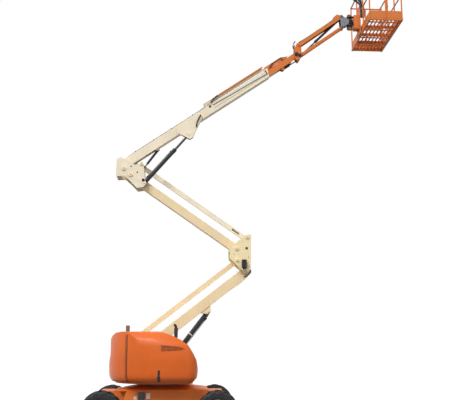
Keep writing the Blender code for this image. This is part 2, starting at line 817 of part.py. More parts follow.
# Engine and tanks under the hoods
node(
    "engine_block",
    "dark_steel",
    turret,
    [
        box(-0.45, 0.20, 0.42, 0.82, hood_low, 1.42),
        box(-0.38, 0.12, 0.48, 0.76, 1.40, 1.58),
        box(0.18, 0.30, 0.40, tank_side, hood_low, 1.52),
        bar((-0.36, 0.62, 1.57), (0.10, 0.62, 1.57), 0.09, 14),
    ],
)
node(
    "hydraulic_tank",
    "black_paint",
    turret,
    [
        box(tank_rear, 0.02, -tank_side, -0.40, hood_low, 1.50),
        box(0.08, 0.52, 0.02 - tank_side, -0.40, hood_low, 1.40),
        box(0.0, 0.10, -0.7, -0.55, hood_low + 0.1, hood_low + 0.2),
        bar((-0.3, -0.63, 1.49), (-0.3, -0.63, 1.56), 0.06, 14),
        bar((0.3, -0.63, 1.39), (0.3, -0.63, 1.45), 0.05, 14),
    ],
)

# Hoods: moulded shells hinged along their inner top edges
hinge_z = HOOD_TOP_Z
for side, name in ((-1, "near"), (1, "far")):
    hood_empty = pivot("hood_pivot_" + name, turret, 0, side * HOOD_INNER_Y, hinge_z)
    y_range = sorted((side * HOOD_INNER_Y, side * (hood_outer_y + 0.1)))
    inner_range = sorted((side * (HOOD_INNER_Y - 0.1), side * (hood_outer_y + 0.1)))
    shell = joined(
        [plate_y(hood_profile(0), y_range[0], y_range[1])],
        [],
        [plate_z(turret_plan(0), hood_low - 0.1, HOOD_TOP_Z + 0.1), plate_x(hood_section(side, 0), -2, 2)],
    )
    cavity_outline = hood_profile(HOOD_WALL)
    cavity_outline[0] = (cavity_outline[0][0], hood_low - 0.05)
    cavity_outline[-1] = (cavity_outline[-1][0], hood_low - 0.05)
    cavity = joined(
        [plate_y(cavity_outline, inner_range[0], inner_range[1])],
        [],
        [
            plate_z(turret_plan(HOOD_WALL), hood_low - 0.1, HOOD_TOP_Z + 0.1),
            plate_x(hood_section(side, HOOD_WALL), -2, 2),
        ],
    )
    made = joined([shell], [cavity])
    made.data.transform(Matrix.Translation((0, -side * HOOD_INNER_Y, -hinge_z)))
    node("hood_" + name, "orange", hood_empty, [made])


# Lower riser, its levelling link and the upright between the risers
lower_empty = pivot("lower_riser_pivot", turret, riser_pivot_x, 0, RISER_PIVOT_Z, LOWER_RISER_ANGLE)
lower_link_empty = pivot(
    "lower_link_pivot", turret, cheek_top_pin[0], 0, cheek_top_pin[1], LOWER_RISER_ANGLE
)
bracket_u = 1.86
bracket_drop = -0.185


def riser(length, depth, head_growth):
    """Return a riser tube along +X with pin bosses at both ends and a deeper far end."""
    half = depth / 2
    grown = half + head_growth
    outline = [
        (0.055, -half),
        (length - 0.62, -half),
        (length - 0.30, -grown),
        (length - 0.055, -grown + 0.01),
        (length - 0.055, half),
        (0.055, half),
    ]
    inner = [
        (-0.2, -half + RISER_WALL),
        (length - 0.62, -half + RISER_WALL),
        (length - 0.30, -grown + RISER_WALL),
        (length + 0.2, -grown + 0.01 + RISER_WALL),
        (length + 0.2, half - RISER_WALL),
        (-0.2, half - RISER_WALL),
    ]
    wide = RISER_WIDTH / 2
    tube = joined(
        [plate_y(outline, -wide, wide)], [plate_y(inner, -wide + RISER_WALL, wide - RISER_WALL)]
    )
    parts = [tube]
    for end in (0.0, length):
        inward = 0.07 if end == 0.0 else -0.07
        ear = [(end + inward, -0.07), (end + inward, 0.07)]
        ear += [(end, 0.062), (end - inward * 0.62, 0.045), (end - inward * 0.9, 0.0)]
        ear += [(end - inward * 0.62, -0.045), (end, -0.062)]
        if end:
            ear.reverse()
        parts.append(plate_y(ear, -wide + 0.002, wide - 0.002))
    holes = [pin_y(end, 0, -wide - 0.01, wide + 0.01, 0.04 + PIN_FIT, 12) for end in (0.0, length)]
    return parts, holes


lower_parts, lower_holes = riser(LOWER_RISER_LENGTH, LOWER_RISER_DEPTH, 0.018)
for side in (-1, 1):
    ear_y = sorted((side * 0.062, side * 0.078))
    lower_parts.append(
        plate_y(
            [
                (bracket_u - 0.16, -LOWER_RISER_DEPTH / 2 + 0.005),
                (bracket_u - 0.05, bracket_drop - 0.035),
                (bracket_u + 0.05, bracket_drop - 0.035),
                (bracket_u + 0.12, -LOWER_RISER_DEPTH / 2 + 0.005),
            ],
            ear_y[0],
            ear_y[1],
        )
    )
lower_parts.append(pin_y(bracket_u, bracket_drop, -0.085, 0.085, 0.025, 12))
node("lower_riser", "tan", lower_empty, lower_parts, lower_holes)


def link(length):
    """Return a levelling link along +X: a narrow tube with an eye at each end."""
    half = LINK_DEPTH / 2
    low = LINK_Y - LINK_WIDTH / 2
    high = LINK_Y + LINK_WIDTH / 2
    tube = joined(
        [box(0.04, length - 0.04, low, high, -half, half)],
        [box(0.09, length - 0.09, low + LINK_WALL, high - LINK_WALL, -half + LINK_WALL, half - LINK_WALL),
         box(0.2, 0.4, low - 0.02, high - 0.02, -0.02, 0.02)],
    )
    parts = [tube]
    for end in (0.0, length):
        parts.append(bar((end, low, 0), (end, high, 0), 0.056, 12))
    holes = [pin_y(end, 0, low - 0.01, high + 0.01, 0.034 + PIN_FIT, 12) for end in (0.0, length)]
    return parts, holes


link_parts, link_holes = link(LOWER_RISER_LENGTH)
node("lower_link", "cream", lower_link_empty, link_parts, link_holes)

mid_upright = pivot("mid_upright_pivot", lower_empty, LOWER_RISER_LENGTH, 0, 0, -LOWER_RISER_ANGLE)
top_x = UPRIGHT_SHIFT_X
top_z = UPRIGHT_HEIGHT
mid_pins = [
    (0.0, 0.0, 0.04, True),
    (LINK_OFFSET_X, LINK_OFFSET_Z, 0.034, False),
    (top_x, top_z, 0.04, True),
    (top_x + UPPER_LINK_OFFSET_X, top_z + UPPER_LINK_OFFSET_Z, 0.034, False),
]
mid_middle = (top_z + UPPER_LINK_OFFSET_Z) / 2
mid_low = -0.062
mid_high = 2 * mid_middle - mid_low
mid_outline = [
    (0.085, mid_low - 0.005),
    (-0.06, mid_low),
    (-0.175, mid_low + 0.115),
    (-0.400, mid_middle - 0.105),
    (-0.405, mid_middle + 0.105),
    (-0.245, mid_high - 0.185),
    (-0.040, mid_high - 0.012),
    (0.085, mid_high + 0.005),
    (0.085, mid_high - 0.10),
    (0.075, mid_low + 0.10),
]
mid_parts = []
for side in (-1, 1):
    plate_range = sorted((side * PLATE_Y, side * (PLATE_Y - PLATE_THICKNESS)))
    mid_parts.append(plate_y(mid_outline, plate_range[0], plate_range[1]))
for x, z, radius, wide_pin in mid_pins:
    low = -PLATE_Y - 0.018 if wide_pin else LINK_Y - LINK_WIDTH / 2 - 0.012
    mid_parts.append(pin_y(x, z, low, PLATE_Y + 0.018, radius, 10))
    if not wide_pin:
        mid_parts.append(pin_y(x, z, -PLATE_Y - 0.018, -PLATE_Y + PLATE_THICKNESS - 0.001, radius, 10))
web_x = -0.385
mid_parts.append(
    box(web_x, web_x + 0.014, -PLATE_Y + 0.005, PLATE_Y - 0.005, mid_middle - 0.064, mid_middle)
)
node("mid_upright", "cream", mid_upright, mid_parts)

# Upper riser, its link and the boom's upright
upper_empty = pivot("upper_riser_pivot", mid_upright, top_x, 0, top_z, 180 - UPPER_RISER_ANGLE)
upper_link_empty = pivot(
    "upper_link_pivot",
    mid_upright,
    top_x + UPPER_LINK_OFFSET_X,
    0,
    top_z + UPPER_LINK_OFFSET_Z,
    180 - UPPER_RISER_ANGLE,
)
upper_parts, upper_holes = riser(UPPER_RISER_LENGTH, UPPER_RISER_DEPTH, 0.0)
node("upper_riser", "tan", upper_empty, upper_parts, upper_holes)
upper_link_parts, upper_link_holes = link(UPPER_RISER_LENGTH)
node("upper_link", "cream", upper_link_empty, upper_link_parts, upper_link_holes)

upper_upright = pivot(
    "upper_upright_pivot", upper_empty, UPPER_RISER_LENGTH, 0, 0, UPPER_RISER_ANGLE - 180
)
boom_pin = (BOOM_PIVOT_X, BOOM_PIVOT_Z)
cylinder_foot = (0.308, -0.191)
level_foot = (0.225, 0.122)
boom_outline = [
    (-0.330, -0.045),
    (-0.325, 0.355),
    (-0.235, 0.410),
    (0.095, 0.225),
    (0.190, 0.255),
    (0.290, 0.235),
    (0.335, -0.130),
    (0.365, -0.205),
    (0.290, -0.290),
    (0.150, -0.315),
    (0.030, -0.190),
    (-0.140, -0.035),
]
upper_parts = []
for side in (-1, 1):
    plate_range = sorted((side * PLATE_Y, side * (PLATE_Y - PLATE_THICKNESS)))
    upper_parts.append(plate_y(boom_outline, plate_range[0], plate_range[1]))
    upper_parts.append(
        pin_y(UPPER_LINK_OFFSET_X, UPPER_LINK_OFFSET_Z,
              min(side * (PLATE_Y + 0.018), side * (PLATE_Y - 0.03)),
              max(side * (PLATE_Y + 0.018), side * (PLATE_Y - 0.03)), 0.034, 10)
    )
upper_parts.append(pin_y(0, 0, -PLATE_Y - 0.018, PLATE_Y + 0.018, 0.04, 10))
upper_parts.append(pin_y(boom_pin[0], boom_pin[1], -PLATE_Y - 0.018, PLATE_Y + 0.018, 0.04, 10))
upper_parts.append(
    pin_y(UPPER_LINK_OFFSET_X, UPPER_LINK_OFFSET_Z, LINK_Y - LINK_WIDTH / 2 - 0.012, PLATE_Y, 0.034, 10)
)
upper_parts.append(box(-0.325, -0.305, -PLATE_Y + 0.005, PLATE_Y - 0.005, -0.03, 0.16))
upper_parts.append(pin_y(level_foot[0], level_foot[1], -PLATE_Y + 0.01, PLATE_Y - 0.01, 0.010, 8))
upper_parts.append(pin_y(cylinder_foot[0], cylinder_foot[1], -PLATE_Y - 0.012, -0.10, 0.024, 12))
node("upper_upright", "cream", upper_upright, upper_parts)

# Cylinders along +X of their own empty, from the pin that they turn on
LIFT_RADIUS = 0.055
LIFT_ROD = 0.030
BOOM_CYLINDER_RADIUS = 0.044
BOOM_CYLINDER_ROD = 0.028
LEVEL_RADIUS = 0.028
LEVEL_ROD = 0.014


def barrel_solids(length, radius, rod_radius, eye, half_eye, pin_radius, port=True):
    """Return a cylinder barrel from its pin to its gland, and its bores."""
    solids = [
        bar((eye * 0.6, 0, 0), (length - 0.05, 0, 0), radius, 18),
        bar((0, -half_eye, 0), (0, half_eye, 0), eye, 16),
        bar((length - 0.09, 0, 0), (length, 0, 0), radius + 0.004, 18),
    ]
    if port:
        solids.append(bar((eye + 0.05, 0, radius * 0.8), (eye + 0.05, 0, radius + 0.012), 0.010, 8))
    cutters = [
        bar((eye + 0.03, 0, 0), (length + 0.02, 0, 0), rod_radius + SLIDE_FIT, 16),
        bar((0, -half_eye - 0.01, 0), (0, half_eye + 0.01, 0), pin_radius + PIN_FIT, 12),
    ]
    return solids, cutters


def rod_solids(start, end, radius, eye, half_eye, pin_radius):
    """Return a rod from inside its barrel to its eye, with the eye's pin end."""
    solids = [
        bar((start, 0, 0), (end - eye * 0.5, 0, 0), radius, 16),
        bar((end, -half_eye, 0), (end, half_eye, 0), eye, 16),
    ]
    return solids, []


riser_head = polar(riser_pivot_x, RISER_PIVOT_Z, LOWER_RISER_ANGLE, bracket_u, bracket_drop)
lift_length, lift_angle = line_angle(riser_head, riser_foot)
lift_barrel = 1.20
lift_empty = pivot(
    "riser_cylinder_pivot", lower_empty, bracket_u, 0, bracket_drop, lift_angle - LOWER_RISER_ANGLE
)
lift_rod_empty = pivot("riser_rod_slide", lift_empty)
solids, cutters = barrel_solids(lift_barrel, LIFT_RADIUS, LIFT_ROD, 0.05, 0.058, 0.025)
node("riser_cylinder_barrel", "black_paint", lift_empty, solids, cutters)
solids, cutters = rod_solids(lift_length - 1.10, lift_length, LIFT_ROD, 0.045, 0.045, 0.02)
node("riser_cylinder_rod", "chrome", lift_rod_empty, solids, cutters)

# Base boom: a rectangular tube whose foot turns on the upright, with the lift bracket
boom_empty = pivot("boom_pivot", upper_upright, boom_pin[0], 0, boom_pin[1], BOOM_ANGLE)
half_boom = BOOM_WIDTH / 2
boom_low = 0.005
boom_high = boom_low + BOOM_DEPTH
fly_middle = (boom_low + boom_high) / 2 - 0.014
half_fly = FLY_WIDTH / 2
lift_pin = (1.686, -0.141)
level_head = (0.911, -0.020)
slot_half = LEVEL_RADIUS + 0.014
near_y = -0.145
clevis_inner = (near_y + BOOM_CYLINDER_ROD + 0.004, near_y + BOOM_CYLINDER_ROD + 0.021)
clevis_outer = (near_y - BOOM_CYLINDER_ROD - 0.017, near_y - BOOM_CYLINDER_ROD - 0.004)
clevis_outline = [
    (1.50, boom_low + 0.01),
    (lift_pin[0] - 0.045, lift_pin[1] - 0.115),
    (lift_pin[0] + 0.040, lift_pin[1] - 0.115),
    (1.88, -0.150),
    (2.06, -0.050),
    (2.21, 0.055),
    (2.14, boom_high - 0.03),
    (1.62, boom_high - 0.03),
]
boom_tube = joined(
    [plate_y([(0.02, boom_low), (BOOM_LENGTH, boom_low), (BOOM_LENGTH + 0.09, boom_high), (0.06, boom_high)],
             -half_boom, half_boom)],
    [
        box(-0.1, BOOM_LENGTH + 0.2, BOOM_WALL - half_boom, half_boom - BOOM_WALL,
            boom_low + BOOM_WALL, boom_high - BOOM_WALL),
        box(0.30, level_head[0] + 0.07, -slot_half, slot_half, boom_low - 0.05, boom_low + 0.05),
    ],
)
foot_outline = [(-0.075, 0.0), (-0.055, -0.050), (0.0, -0.072), (0.07, -0.045), (0.16, boom_low + 0.01)]
foot_outline += [(0.30, boom_high * 0.6), (0.03, boom_high * 0.6)]
boom_parts = [
    boom_tube,
    plate_y(foot_outline, -half_boom + 0.001, half_boom - 0.001),
    plate_y(clevis_outline, clevis_inner[0], clevis_inner[1]),
    plate_y(clevis_outline, clevis_outer[0], clevis_outer[1]),
    box(1.80, 2.12, clevis_outer[0] + 0.004, -half_boom + 0.004, 0.03, boom_high - 0.05),
    pin_y(lift_pin[0], lift_pin[1], clevis_outer[0] - 0.001, clevis_outer[1] - 0.001, 0.036, 14),
    box(BOOM_LENGTH - 0.12, BOOM_LENGTH - 0.01, 0.004 - half_boom, half_boom - 0.004, boom_low + 0.004,
        boom_high - 0.004),
]
for side in (-1, 1):
    lug_range = sorted((side * slot_half, side * (slot_half + 0.016)))
    boom_parts.append(
        plate_y(
            [
                (level_head[0] - 0.07, boom_low + 0.004),
                (level_head[0] - 0.02, level_head[1] - 0.024),
                (level_head[0] + 0.02, level_head[1] - 0.024),
                (level_head[0] + 0.07, boom_low + 0.004),
            ],
            lug_range[0],
            lug_range[1],
        )
    )
boom_cuts = [
    pin_y(0, 0, -half_boom - 0.01, half_boom + 0.01, 0.04 + PIN_FIT, 12),
    box(-0.2, 0.28, -slot_half - 0.012, slot_half + 0.012, -0.2, boom_high - BOOM_WALL),
    box(BOOM_LENGTH - 0.14, BOOM_LENGTH + 0.2, -half_fly - SEAT, half_fly + SEAT,
        fly_middle - FLY_DEPTH / 2 - SEAT, fly_middle + FLY_DEPTH / 2 + SEAT),
]
node("base_boom", "cream", boom_empty, boom_parts, boom_cuts)

# Boom lift cylinder in the near lane
foot_world = (cylinder_foot[0], cylinder_foot[1])
head_world = polar(boom_pin[0], boom_pin[1], BOOM_ANGLE, lift_pin[0], lift_pin[1])
boom_cylinder_length, boom_cylinder_angle = line_angle(foot_world, head_world)
boom_cylinder_barrel = 1.07
boom_lift_empty = pivot(
    "boom_cylinder_pivot", upper_upright, cylinder_foot[0], near_y, cylinder_foot[1], boom_cylinder_angle
)
boom_rod_empty = pivot("boom_rod_slide", boom_lift_empty)
solids, cutters = barrel_solids(
    boom_cylinder_barrel, BOOM_CYLINDER_RADIUS, BOOM_CYLINDER_ROD, 0.048, 0.040, 0.024
)
node("boom_cylinder_barrel", "black_paint", boom_lift_empty, solids, cutters)
solids, cutters = rod_solids(
    boom_cylinder_length - 1.12, boom_cylinder_length, BOOM_CYLINDER_ROD, 0.045, BOOM_CYLINDER_ROD, 0.02
)
node("boom_cylinder_rod", "chrome", boom_rod_empty, solids, cutters)

# Levelling cylinder: its rod turns on the upright and its barrel works inside the boom's slot
level_world = polar(boom_pin[0], boom_pin[1], BOOM_ANGLE, level_head[0], level_head[1])
level_length, level_angle = line_angle(level_foot, level_world)
level_empty = pivot("level_cylinder_pivot", upper_upright, level_foot[0], 0, level_foot[1], level_angle)
level_barrel_empty = pivot("level_barrel_slide", level_empty)
level_barrel_length = 0.42
level_eye = 0.022
rod = [
    bar((level_eye * 0.5, 0, 0), (level_length - 0.217, 0, 0), LEVEL_ROD, 12),
    bar((0, -0.02, 0), (0, 0.02, 0), level_eye, 14),
]
node("level_cylinder_rod", "chrome", level_empty, rod,
     [bar((0, -0.03, 0), (0, 0.03, 0), 0.010 + PIN_FIT, 8)])
level_mouth = level_length - level_barrel_length
node(
    "level_cylinder_barrel",
    "black_paint",
    level_barrel_empty,
    [
        bar((level_mouth, 0, 0), (level_length - 0.01, 0, 0), LEVEL_RADIUS, 16),
        bar((level_length, -slot_half + SEAT, 0), (level_length, slot_half - SEAT, 0), 0.020, 12),
    ],
    [bar((level_mouth - 0.02, 0, 0), (level_length - 0.035, 0, 0), LEVEL_ROD + SLIDE_FIT, 12)],
)

# Fly boom: slides along the base boom and carries the jib's bracket on its nose plates
fly_empty = pivot("fly_slide", boom_empty)
nose_wall = 0.015
jib_u = JIB_PIVOT_U
jib_n = JIB_PIVOT_N
fly_parts = [
    rectangle_tube(FLY_TAIL, FLY_REACH, FLY_WIDTH, fly_middle - FLY_DEPTH / 2, fly_middle + FLY_DEPTH / 2, FLY_WALL)
]
for side in (-1, 1):
    nose_range = sorted((side * half_fly, side * (half_fly - nose_wall)))
    fly_parts.append(
        plate_y(
            [
                (FLY_REACH - 0.12, fly_middle - FLY_DEPTH / 2),
                (FLY_REACH + 0.03, fly_middle - FLY_DEPTH / 2),
                (jib_u - 0.150, jib_n - 0.050),
                (jib_u - 0.095, jib_n - 0.040),
                (jib_u - 0.030, jib_n - 0.078),
                (jib_u + 0.02, jib_n - 0.052),
                (jib_u + 0.052, jib_n),
                (jib_u + 0.02, jib_n + 0.050),
                (jib_u - 0.05, jib_n + 0.058),
                (FLY_REACH, fly_middle + FLY_DEPTH / 2),
                (FLY_REACH - 0.12, fly_middle + FLY_DEPTH / 2),
            ],
            nose_range[0],
            nose_range[1],
        )
    )
slave_n = jib_n - 0.115
slave_u = 4.50
fly_cuts = [pin_y(jib_u, jib_n, -half_fly - 0.01, half_fly + 0.01, 0.028 + PIN_FIT, 14)]
fly_cuts.append(box(slave_u - 0.12, FLY_REACH + 0.02, -0.040, 0.040, -0.1, fly_middle))
for side in (-1, 1):
    fly_parts.append(
        plate_y(
            [
                (slave_u - 0.06, fly_middle - FLY_DEPTH / 2 + 0.004),
                (slave_u - 0.03, slave_n - 0.03),
                (slave_u + 0.03, slave_n - 0.03),
                (slave_u + 0.06, fly_middle - FLY_DEPTH / 2 + 0.004),
            ],
            side * 0.041 if side > 0 else -0.055,
            0.055 if side > 0 else -0.041,
        )
    )
node("fly_boom", "orange", fly_empty, fly_parts, fly_cuts)
slave_length = 0.20
solids = [
    bar((slave_u, -0.0405 + SEAT, slave_n), (slave_u, 0.0405 - SEAT, slave_n), 0.024, 12),
    bar((slave_u, 0, slave_n), (slave_u + slave_length, 0, slave_n), 0.026, 14),
]
node(
    "slave_cylinder_barrel",
    "black_paint",
    fly_empty,
    solids,
    [bar((slave_u + 0.04, 0, slave_n), (slave_u + slave_length + 0.02, 0, slave_n), 0.013 + SLIDE_FIT, 12)],
)
slave_rod_empty = pivot("slave_rod_slide", fly_empty, slave_u, 0, slave_n)
slave_reach = jib_u - 0.05 - slave_u
node(
    "slave_cylinder_rod",
    "chrome",
    slave_rod_empty,
    [
        bar((slave_length - 0.09, 0, 0), (slave_reach - 0.01, 0, 0), 0.013, 12),
        bar((slave_reach, -0.022, 0), (slave_reach, 0.022, 0), 0.026, 14),
    ],
)

# Push tube and cable tray on the boom's near top edge
tray_y = -0.045
node(
    "push_tube",
    "orange",
    fly_empty,
    [
        bar((2.90, 0.045, boom_high + 0.038), (4.62, 0.045, boom_high + 0.038), 0.028, 14),
        box(4.52, 4.60, 0.020, 0.070, fly_middle + FLY_DEPTH / 2 + SEAT, boom_high + 0.03),
    ],
)
node(
    "cable_tray",
    "galvanised",
    boom_empty,
    [
        box(2.42, 4.06, tray_y - 0.040, tray_y + 0.030, boom_high + SEAT, boom_high + 0.092),
        box(2.40, 2.44, tray_y - 0.043, tray_y + 0.033, boom_high + SEAT, boom_high + 0.097),
        box(3.20, 3.24, tray_y - 0.043, tray_y + 0.033, boom_high + SEAT, boom_high + 0.097),
        box(4.02, 4.06, tray_y - 0.043, tray_y + 0.033, boom_high + SEAT, boom_high + 0.097),
    ],
)

# Jib bracket: two plates outside the fly's nose, kept level by the slave cylinder
bracket_empty = pivot("jib_bracket_pivot", fly_empty, jib_u, 0, jib_n, -BOOM_ANGLE)
plate_in = half_fly + 0.004
plate_out = plate_in + 0.014
lower_pin = (JIB_ARM_X, JIB_ARM_LOW_Z)
upper_pin = (JIB_ARM_X + JIB_ARM_LEAN, JIB_ARM_LOW_Z + JIB_ARM_RISE)
ear_pin = polar(0, 0, BOOM_ANGLE, -0.05, -0.115)
bracket_outline = [
    (ear_pin[0] - 0.035, ear_pin[1]),
    (ear_pin[0] - 0.01, ear_pin[1] - 0.035),
    (ear_pin[0] + 0.03, ear_pin[1] - 0.035),
    (lower_pin[0] + 0.02, lower_pin[1] - 0.050),
    (lower_pin[0] + 0.048, lower_pin[1] + 0.01),
    (lower_pin[0] + 0.035, upper_pin[1] - 0.04),
    (upper_pin[0] + 0.045, upper_pin[1] + 0.02),
    (upper_pin[0] + 0.015, upper_pin[1] + 0.06),
    (upper_pin[0] - 0.050, upper_pin[1] + 0.05),
    (-0.045, 0.15),
    (-0.050, 0.02),
    (-0.045, -0.05),
]
bracket_parts = [
    pin_y(0, 0, -plate_out - 0.01, plate_out + 0.01, 0.028, 14),
    pin_y(upper_pin[0], upper_pin[1], -plate_out - 0.01, plate_out + 0.01, 0.022, 12),
    box(-0.044, -0.030, -plate_in - 0.005, plate_in + 0.005, 0.145, 0.25),
]
arm_in = 0.038
arm_out = 0.050
channel_in = 0.056
channel_out = 0.068
for side in (-1, 1):
    limits = sorted((side * plate_in, side * plate_out))
    bracket_parts.append(plate_y(bracket_outline, limits[0], limits[1]))
    limits = sorted((side * (arm_in + 0.001), side * (plate_out + 0.01)))
    bracket_parts.append(pin_y(lower_pin[0], lower_pin[1], limits[0], limits[1], 0.022, 12))
    limits = sorted((side * 0.030, side * (plate_out + 0.006)))
    bracket_parts.append(pin_y(ear_pin[0], ear_pin[1], limits[0], limits[1], 0.014, 10))
node("jib_bracket", "orange", bracket_empty, bracket_parts)

# Jib arms, one nested in the other, with the jib cylinder across them
lower_arm_empty = pivot("jib_arm_pivot", bracket_empty, lower_pin[0], 0, lower_pin[1], JIB_ANGLE)
upper_arm_empty = pivot("jib_upper_pivot", bracket_empty, upper_pin[0], 0, upper_pin[1], JIB_ANGLE)
lower_arm_parts = [
    box(JIB_LENGTH - 0.26, JIB_LENGTH - 0.05, -arm_out + 0.002, arm_out - 0.002, -0.036, -0.026)
]
for side in (-1, 1):
    limits = sorted((side * arm_in, side * arm_out))
    lower_arm_parts.append(box(0, JIB_LENGTH, limits[0], limits[1], -0.036, 0.036))
    for end in (0.0, JIB_LENGTH):
        lower_arm_parts.append(bar((end, limits[0], 0), (end, limits[1], 0), 0.040, 14))
lower_holes = [pin_y(end, 0, -0.06, 0.06, 0.022 + PIN_FIT, 12) for end in (0.0, JIB_LENGTH)]
node("jib_lower_arm", "orange", lower_arm_empty, lower_arm_parts, lower_holes)
channel = joined(
    [box(0.0, JIB_LENGTH, -channel_out, channel_out, -0.036, 0.050)],
    [box(-0.1, JIB_LENGTH + 0.1, -channel_in, channel_in, -0.06, 0.039)],
)
upper_arm_parts = [channel]
for side in (-1, 1):
    limits = sorted((side * (channel_in + 0.0005), side * (channel_out - 0.0005)))
    for end in (0.0, JIB_LENGTH):
        upper_arm_parts.append(bar((end, limits[0], 0), (end, limits[1], 0), 0.042, 14))
upper_holes = [pin_y(end, 0, -0.08, 0.08, 0.022 + PIN_FIT, 12) for end in (0.0, JIB_LENGTH)]
node("jib_upper_arm", "orange", upper_arm_empty, upper_arm_parts, upper_holes)

head_empty = pivot("jib_head_pivot", upper_arm_empty, JIB_LENGTH, 0, 0, -JIB_ANGLE)
rotator_x = ROTATOR_OFFSET_X
rotator_low = -JIB_ARM_RISE - 0.02
rotator_high = 0.02
rotator_radius = 0.075
lower_end = (-JIB_ARM_LEAN, -JIB_ARM_RISE)
head_outline = [
    (lower_end[0] - 0.040, lower_end[1]),
    (lower_end[0] - 0.01, lower_end[1] - 0.042),
    (lower_end[0] + 0.06, lower_end[1] - 0.03),
    (rotator_x, rotator_low + 0.02),
    (rotator_x, rotator_high - 0.03),
    (0.05, 0.035),
    (0.0, 0.045),
    (-0.040, 0.01),
]
head_parts = [
    bar((rotator_x, 0, rotator_low), (rotator_x, 0, rotator_high), rotator_radius, 20),
    box(0.075, rotator_x, -plate_in - 0.004, plate_in + 0.004, -0.21, -0.06),
    pin_y(0, 0, -plate_out - 0.01, plate_out + 0.01, 0.022, 12),
    pin_y(lower_end[0], lower_end[1], -plate_out - 0.01, plate_out + 0.01, 0.022, 12),
]
for side in (-1, 1):
    limits = sorted((side * plate_in, side * plate_out))
    head_parts.append(plate_y(head_outline, limits[0], limits[1]))
node("jib_head", "dark_steel", head_empty, head_parts)

JIB_BARREL_RADIUS = 0.029
JIB_ROD_RADIUS = 0.017
jib_foot = (
    upper_pin[0] - lower_pin[0] + JIB_LENGTH * math.cos(math.radians(JIB_ANGLE)),
    upper_pin[1] - lower_pin[1] + JIB_LENGTH * math.sin(math.radians(JIB_ANGLE)),
)
jib_cylinder_length, jib_cylinder_angle = line_angle(jib_foot, (0, 0))
jib_barrel = 0.93
jib_cylinder_empty = pivot("jib_cylinder_pivot", head_empty, 0, 0, 0, jib_cylinder_angle)
jib_rod_empty = pivot("jib_rod_slide", jib_cylinder_empty)
solids, cutters = barrel_solids(jib_barrel, JIB_BARREL_RADIUS, JIB_ROD_RADIUS, 0.034, 0.030, 0.022, False)
node("jib_cylinder_barrel", "black_paint", jib_cylinder_empty, solids, cutters)
solids, cutters = rod_solids(
    jib_cylinder_length - 0.915, jib_cylinder_length, JIB_ROD_RADIUS, 0.030, 0.028, 0.02
)
node("jib_cylinder_rod", "chrome", jib_rod_empty, solids, cutters)

# Basket: support, tube frame, grating, gate and console all turn on the rotator
rotate_empty = pivot("platform_pivot", head_empty, rotator_x, 0, 0)
floor_z = -0.123 + lower_end[1]
basket_rear = 0.27
basket_front = basket_rear + BASKET_LENGTH
half_basket = BASKET_WIDTH / 2
bearer = 0.04
rail_z = floor_z + RAIL_HEIGHT
mid_z = floor_z + RAIL_HEIGHT / 2
support_low = rotator_low - 0.016
node(
    "platform_support",
    "orange",
    rotate_empty,
    [
        bar((0, 0, support_low), (0, 0, rotator_low - SEAT), rotator_radius, 20),
        bar((0, 0, rotator_high + SEAT), (0, 0, rotator_high + 0.016), rotator_radius, 20),
        box(0, 0.20, -0.05, 0.05, support_low + 0.001, rotator_low - 0.001),
        box(0, 0.20, -0.05, 0.05, rotator_high + 0.001, rotator_high + 0.015),
        box(rotator_radius + 0.02, basket_rear - bearer / 2 - 0.012, -0.09, 0.09, support_low - 0.01,
            rotator_high + 0.03),
        box(basket_rear - bearer / 2 - 0.020, basket_rear - bearer / 2 - SEAT, -0.13, 0.13,
            floor_z - 0.05, mid_z + 0.12),
    ],
)


def rail(points, radius=RAIL_RADIUS):
    """Return a basket rail along a route."""
    return bent_tube(points, radius, 8)


gate_low_y = 0.22
gate_high_y = 0.82
tube = RAIL_RADIUS
rail_routes = []
for z in (rail_z, mid_z):
    rail_routes.append(
        [(basket_front, gate_low_y, z), (basket_front, -half_basket, z), (basket_rear, -half_basket, z),
         (basket_rear, half_basket, z), (basket_front, half_basket, z), (basket_front, gate_high_y, z)]
    )
frame_parts = [rail(route) for route in rail_routes]
posts = [
    (basket_rear, -half_basket), (basket_rear, half_basket), (basket_front, -half_basket),
    (basket_front, half_basket), (basket_rear, -0.30), (basket_rear, 0.30),
    (basket_front, gate_low_y), (basket_front, gate_high_y), (basket_front, -0.35),
    ((basket_rear + basket_front) / 2, -half_basket), ((basket_rear + basket_front) / 2, half_basket),
]
for x, y in posts:
    frame_parts.append(bar((x, y, floor_z - 0.03), (x, y, rail_z - 0.002), tube * 0.96, 8))
skirt = 0.005
for side in (-1, 1):
    y = side * half_basket
    frame_parts.append(
        box(basket_rear, basket_front, y - skirt / 2, y + skirt / 2, floor_z - 0.03, floor_z + TOEBOARD_HEIGHT)
    )
for x in (basket_rear, basket_front):
    high_y = gate_low_y if x == basket_front else half_basket
    frame_parts.append(
        box(x - skirt / 2, x + skirt / 2, -half_basket, high_y, floor_z - 0.03, floor_z + TOEBOARD_HEIGHT)
    )
frame_parts.append(
    box(basket_front - skirt / 2, basket_front + skirt / 2, gate_high_y, half_basket,
        floor_z - 0.03, floor_z + TOEBOARD_HEIGHT)
)
for y in (-half_basket + 0.02, -0.46, 0.0, 0.46, half_basket - 0.02):
    frame_parts.append(
        box(basket_rear, basket_front, y - bearer / 2, y + bearer / 2, floor_z - 0.075, floor_z - 0.028)
    )
for x in (basket_rear, basket_front):
    frame_parts.append(
        box(x - bearer / 2, x + bearer / 2, -half_basket - 0.01, half_basket + 0.01,
            floor_z - 0.080, floor_z - 0.028)
    )
gate_axis_y = gate_low_y + 0.045
gate_span = gate_high_y - gate_axis_y - 0.045
gate_rise = RAIL_HEIGHT / 2 - 0.01
gate_foot_z = mid_z - gate_rise + 0.16
hinge_lug_z = mid_z + 0.30
frame_parts.append(
    box(basket_front - 0.014, basket_front + 0.014, gate_low_y, gate_axis_y + 0.014, gate_foot_z - 0.014,
        gate_foot_z - SEAT)
)
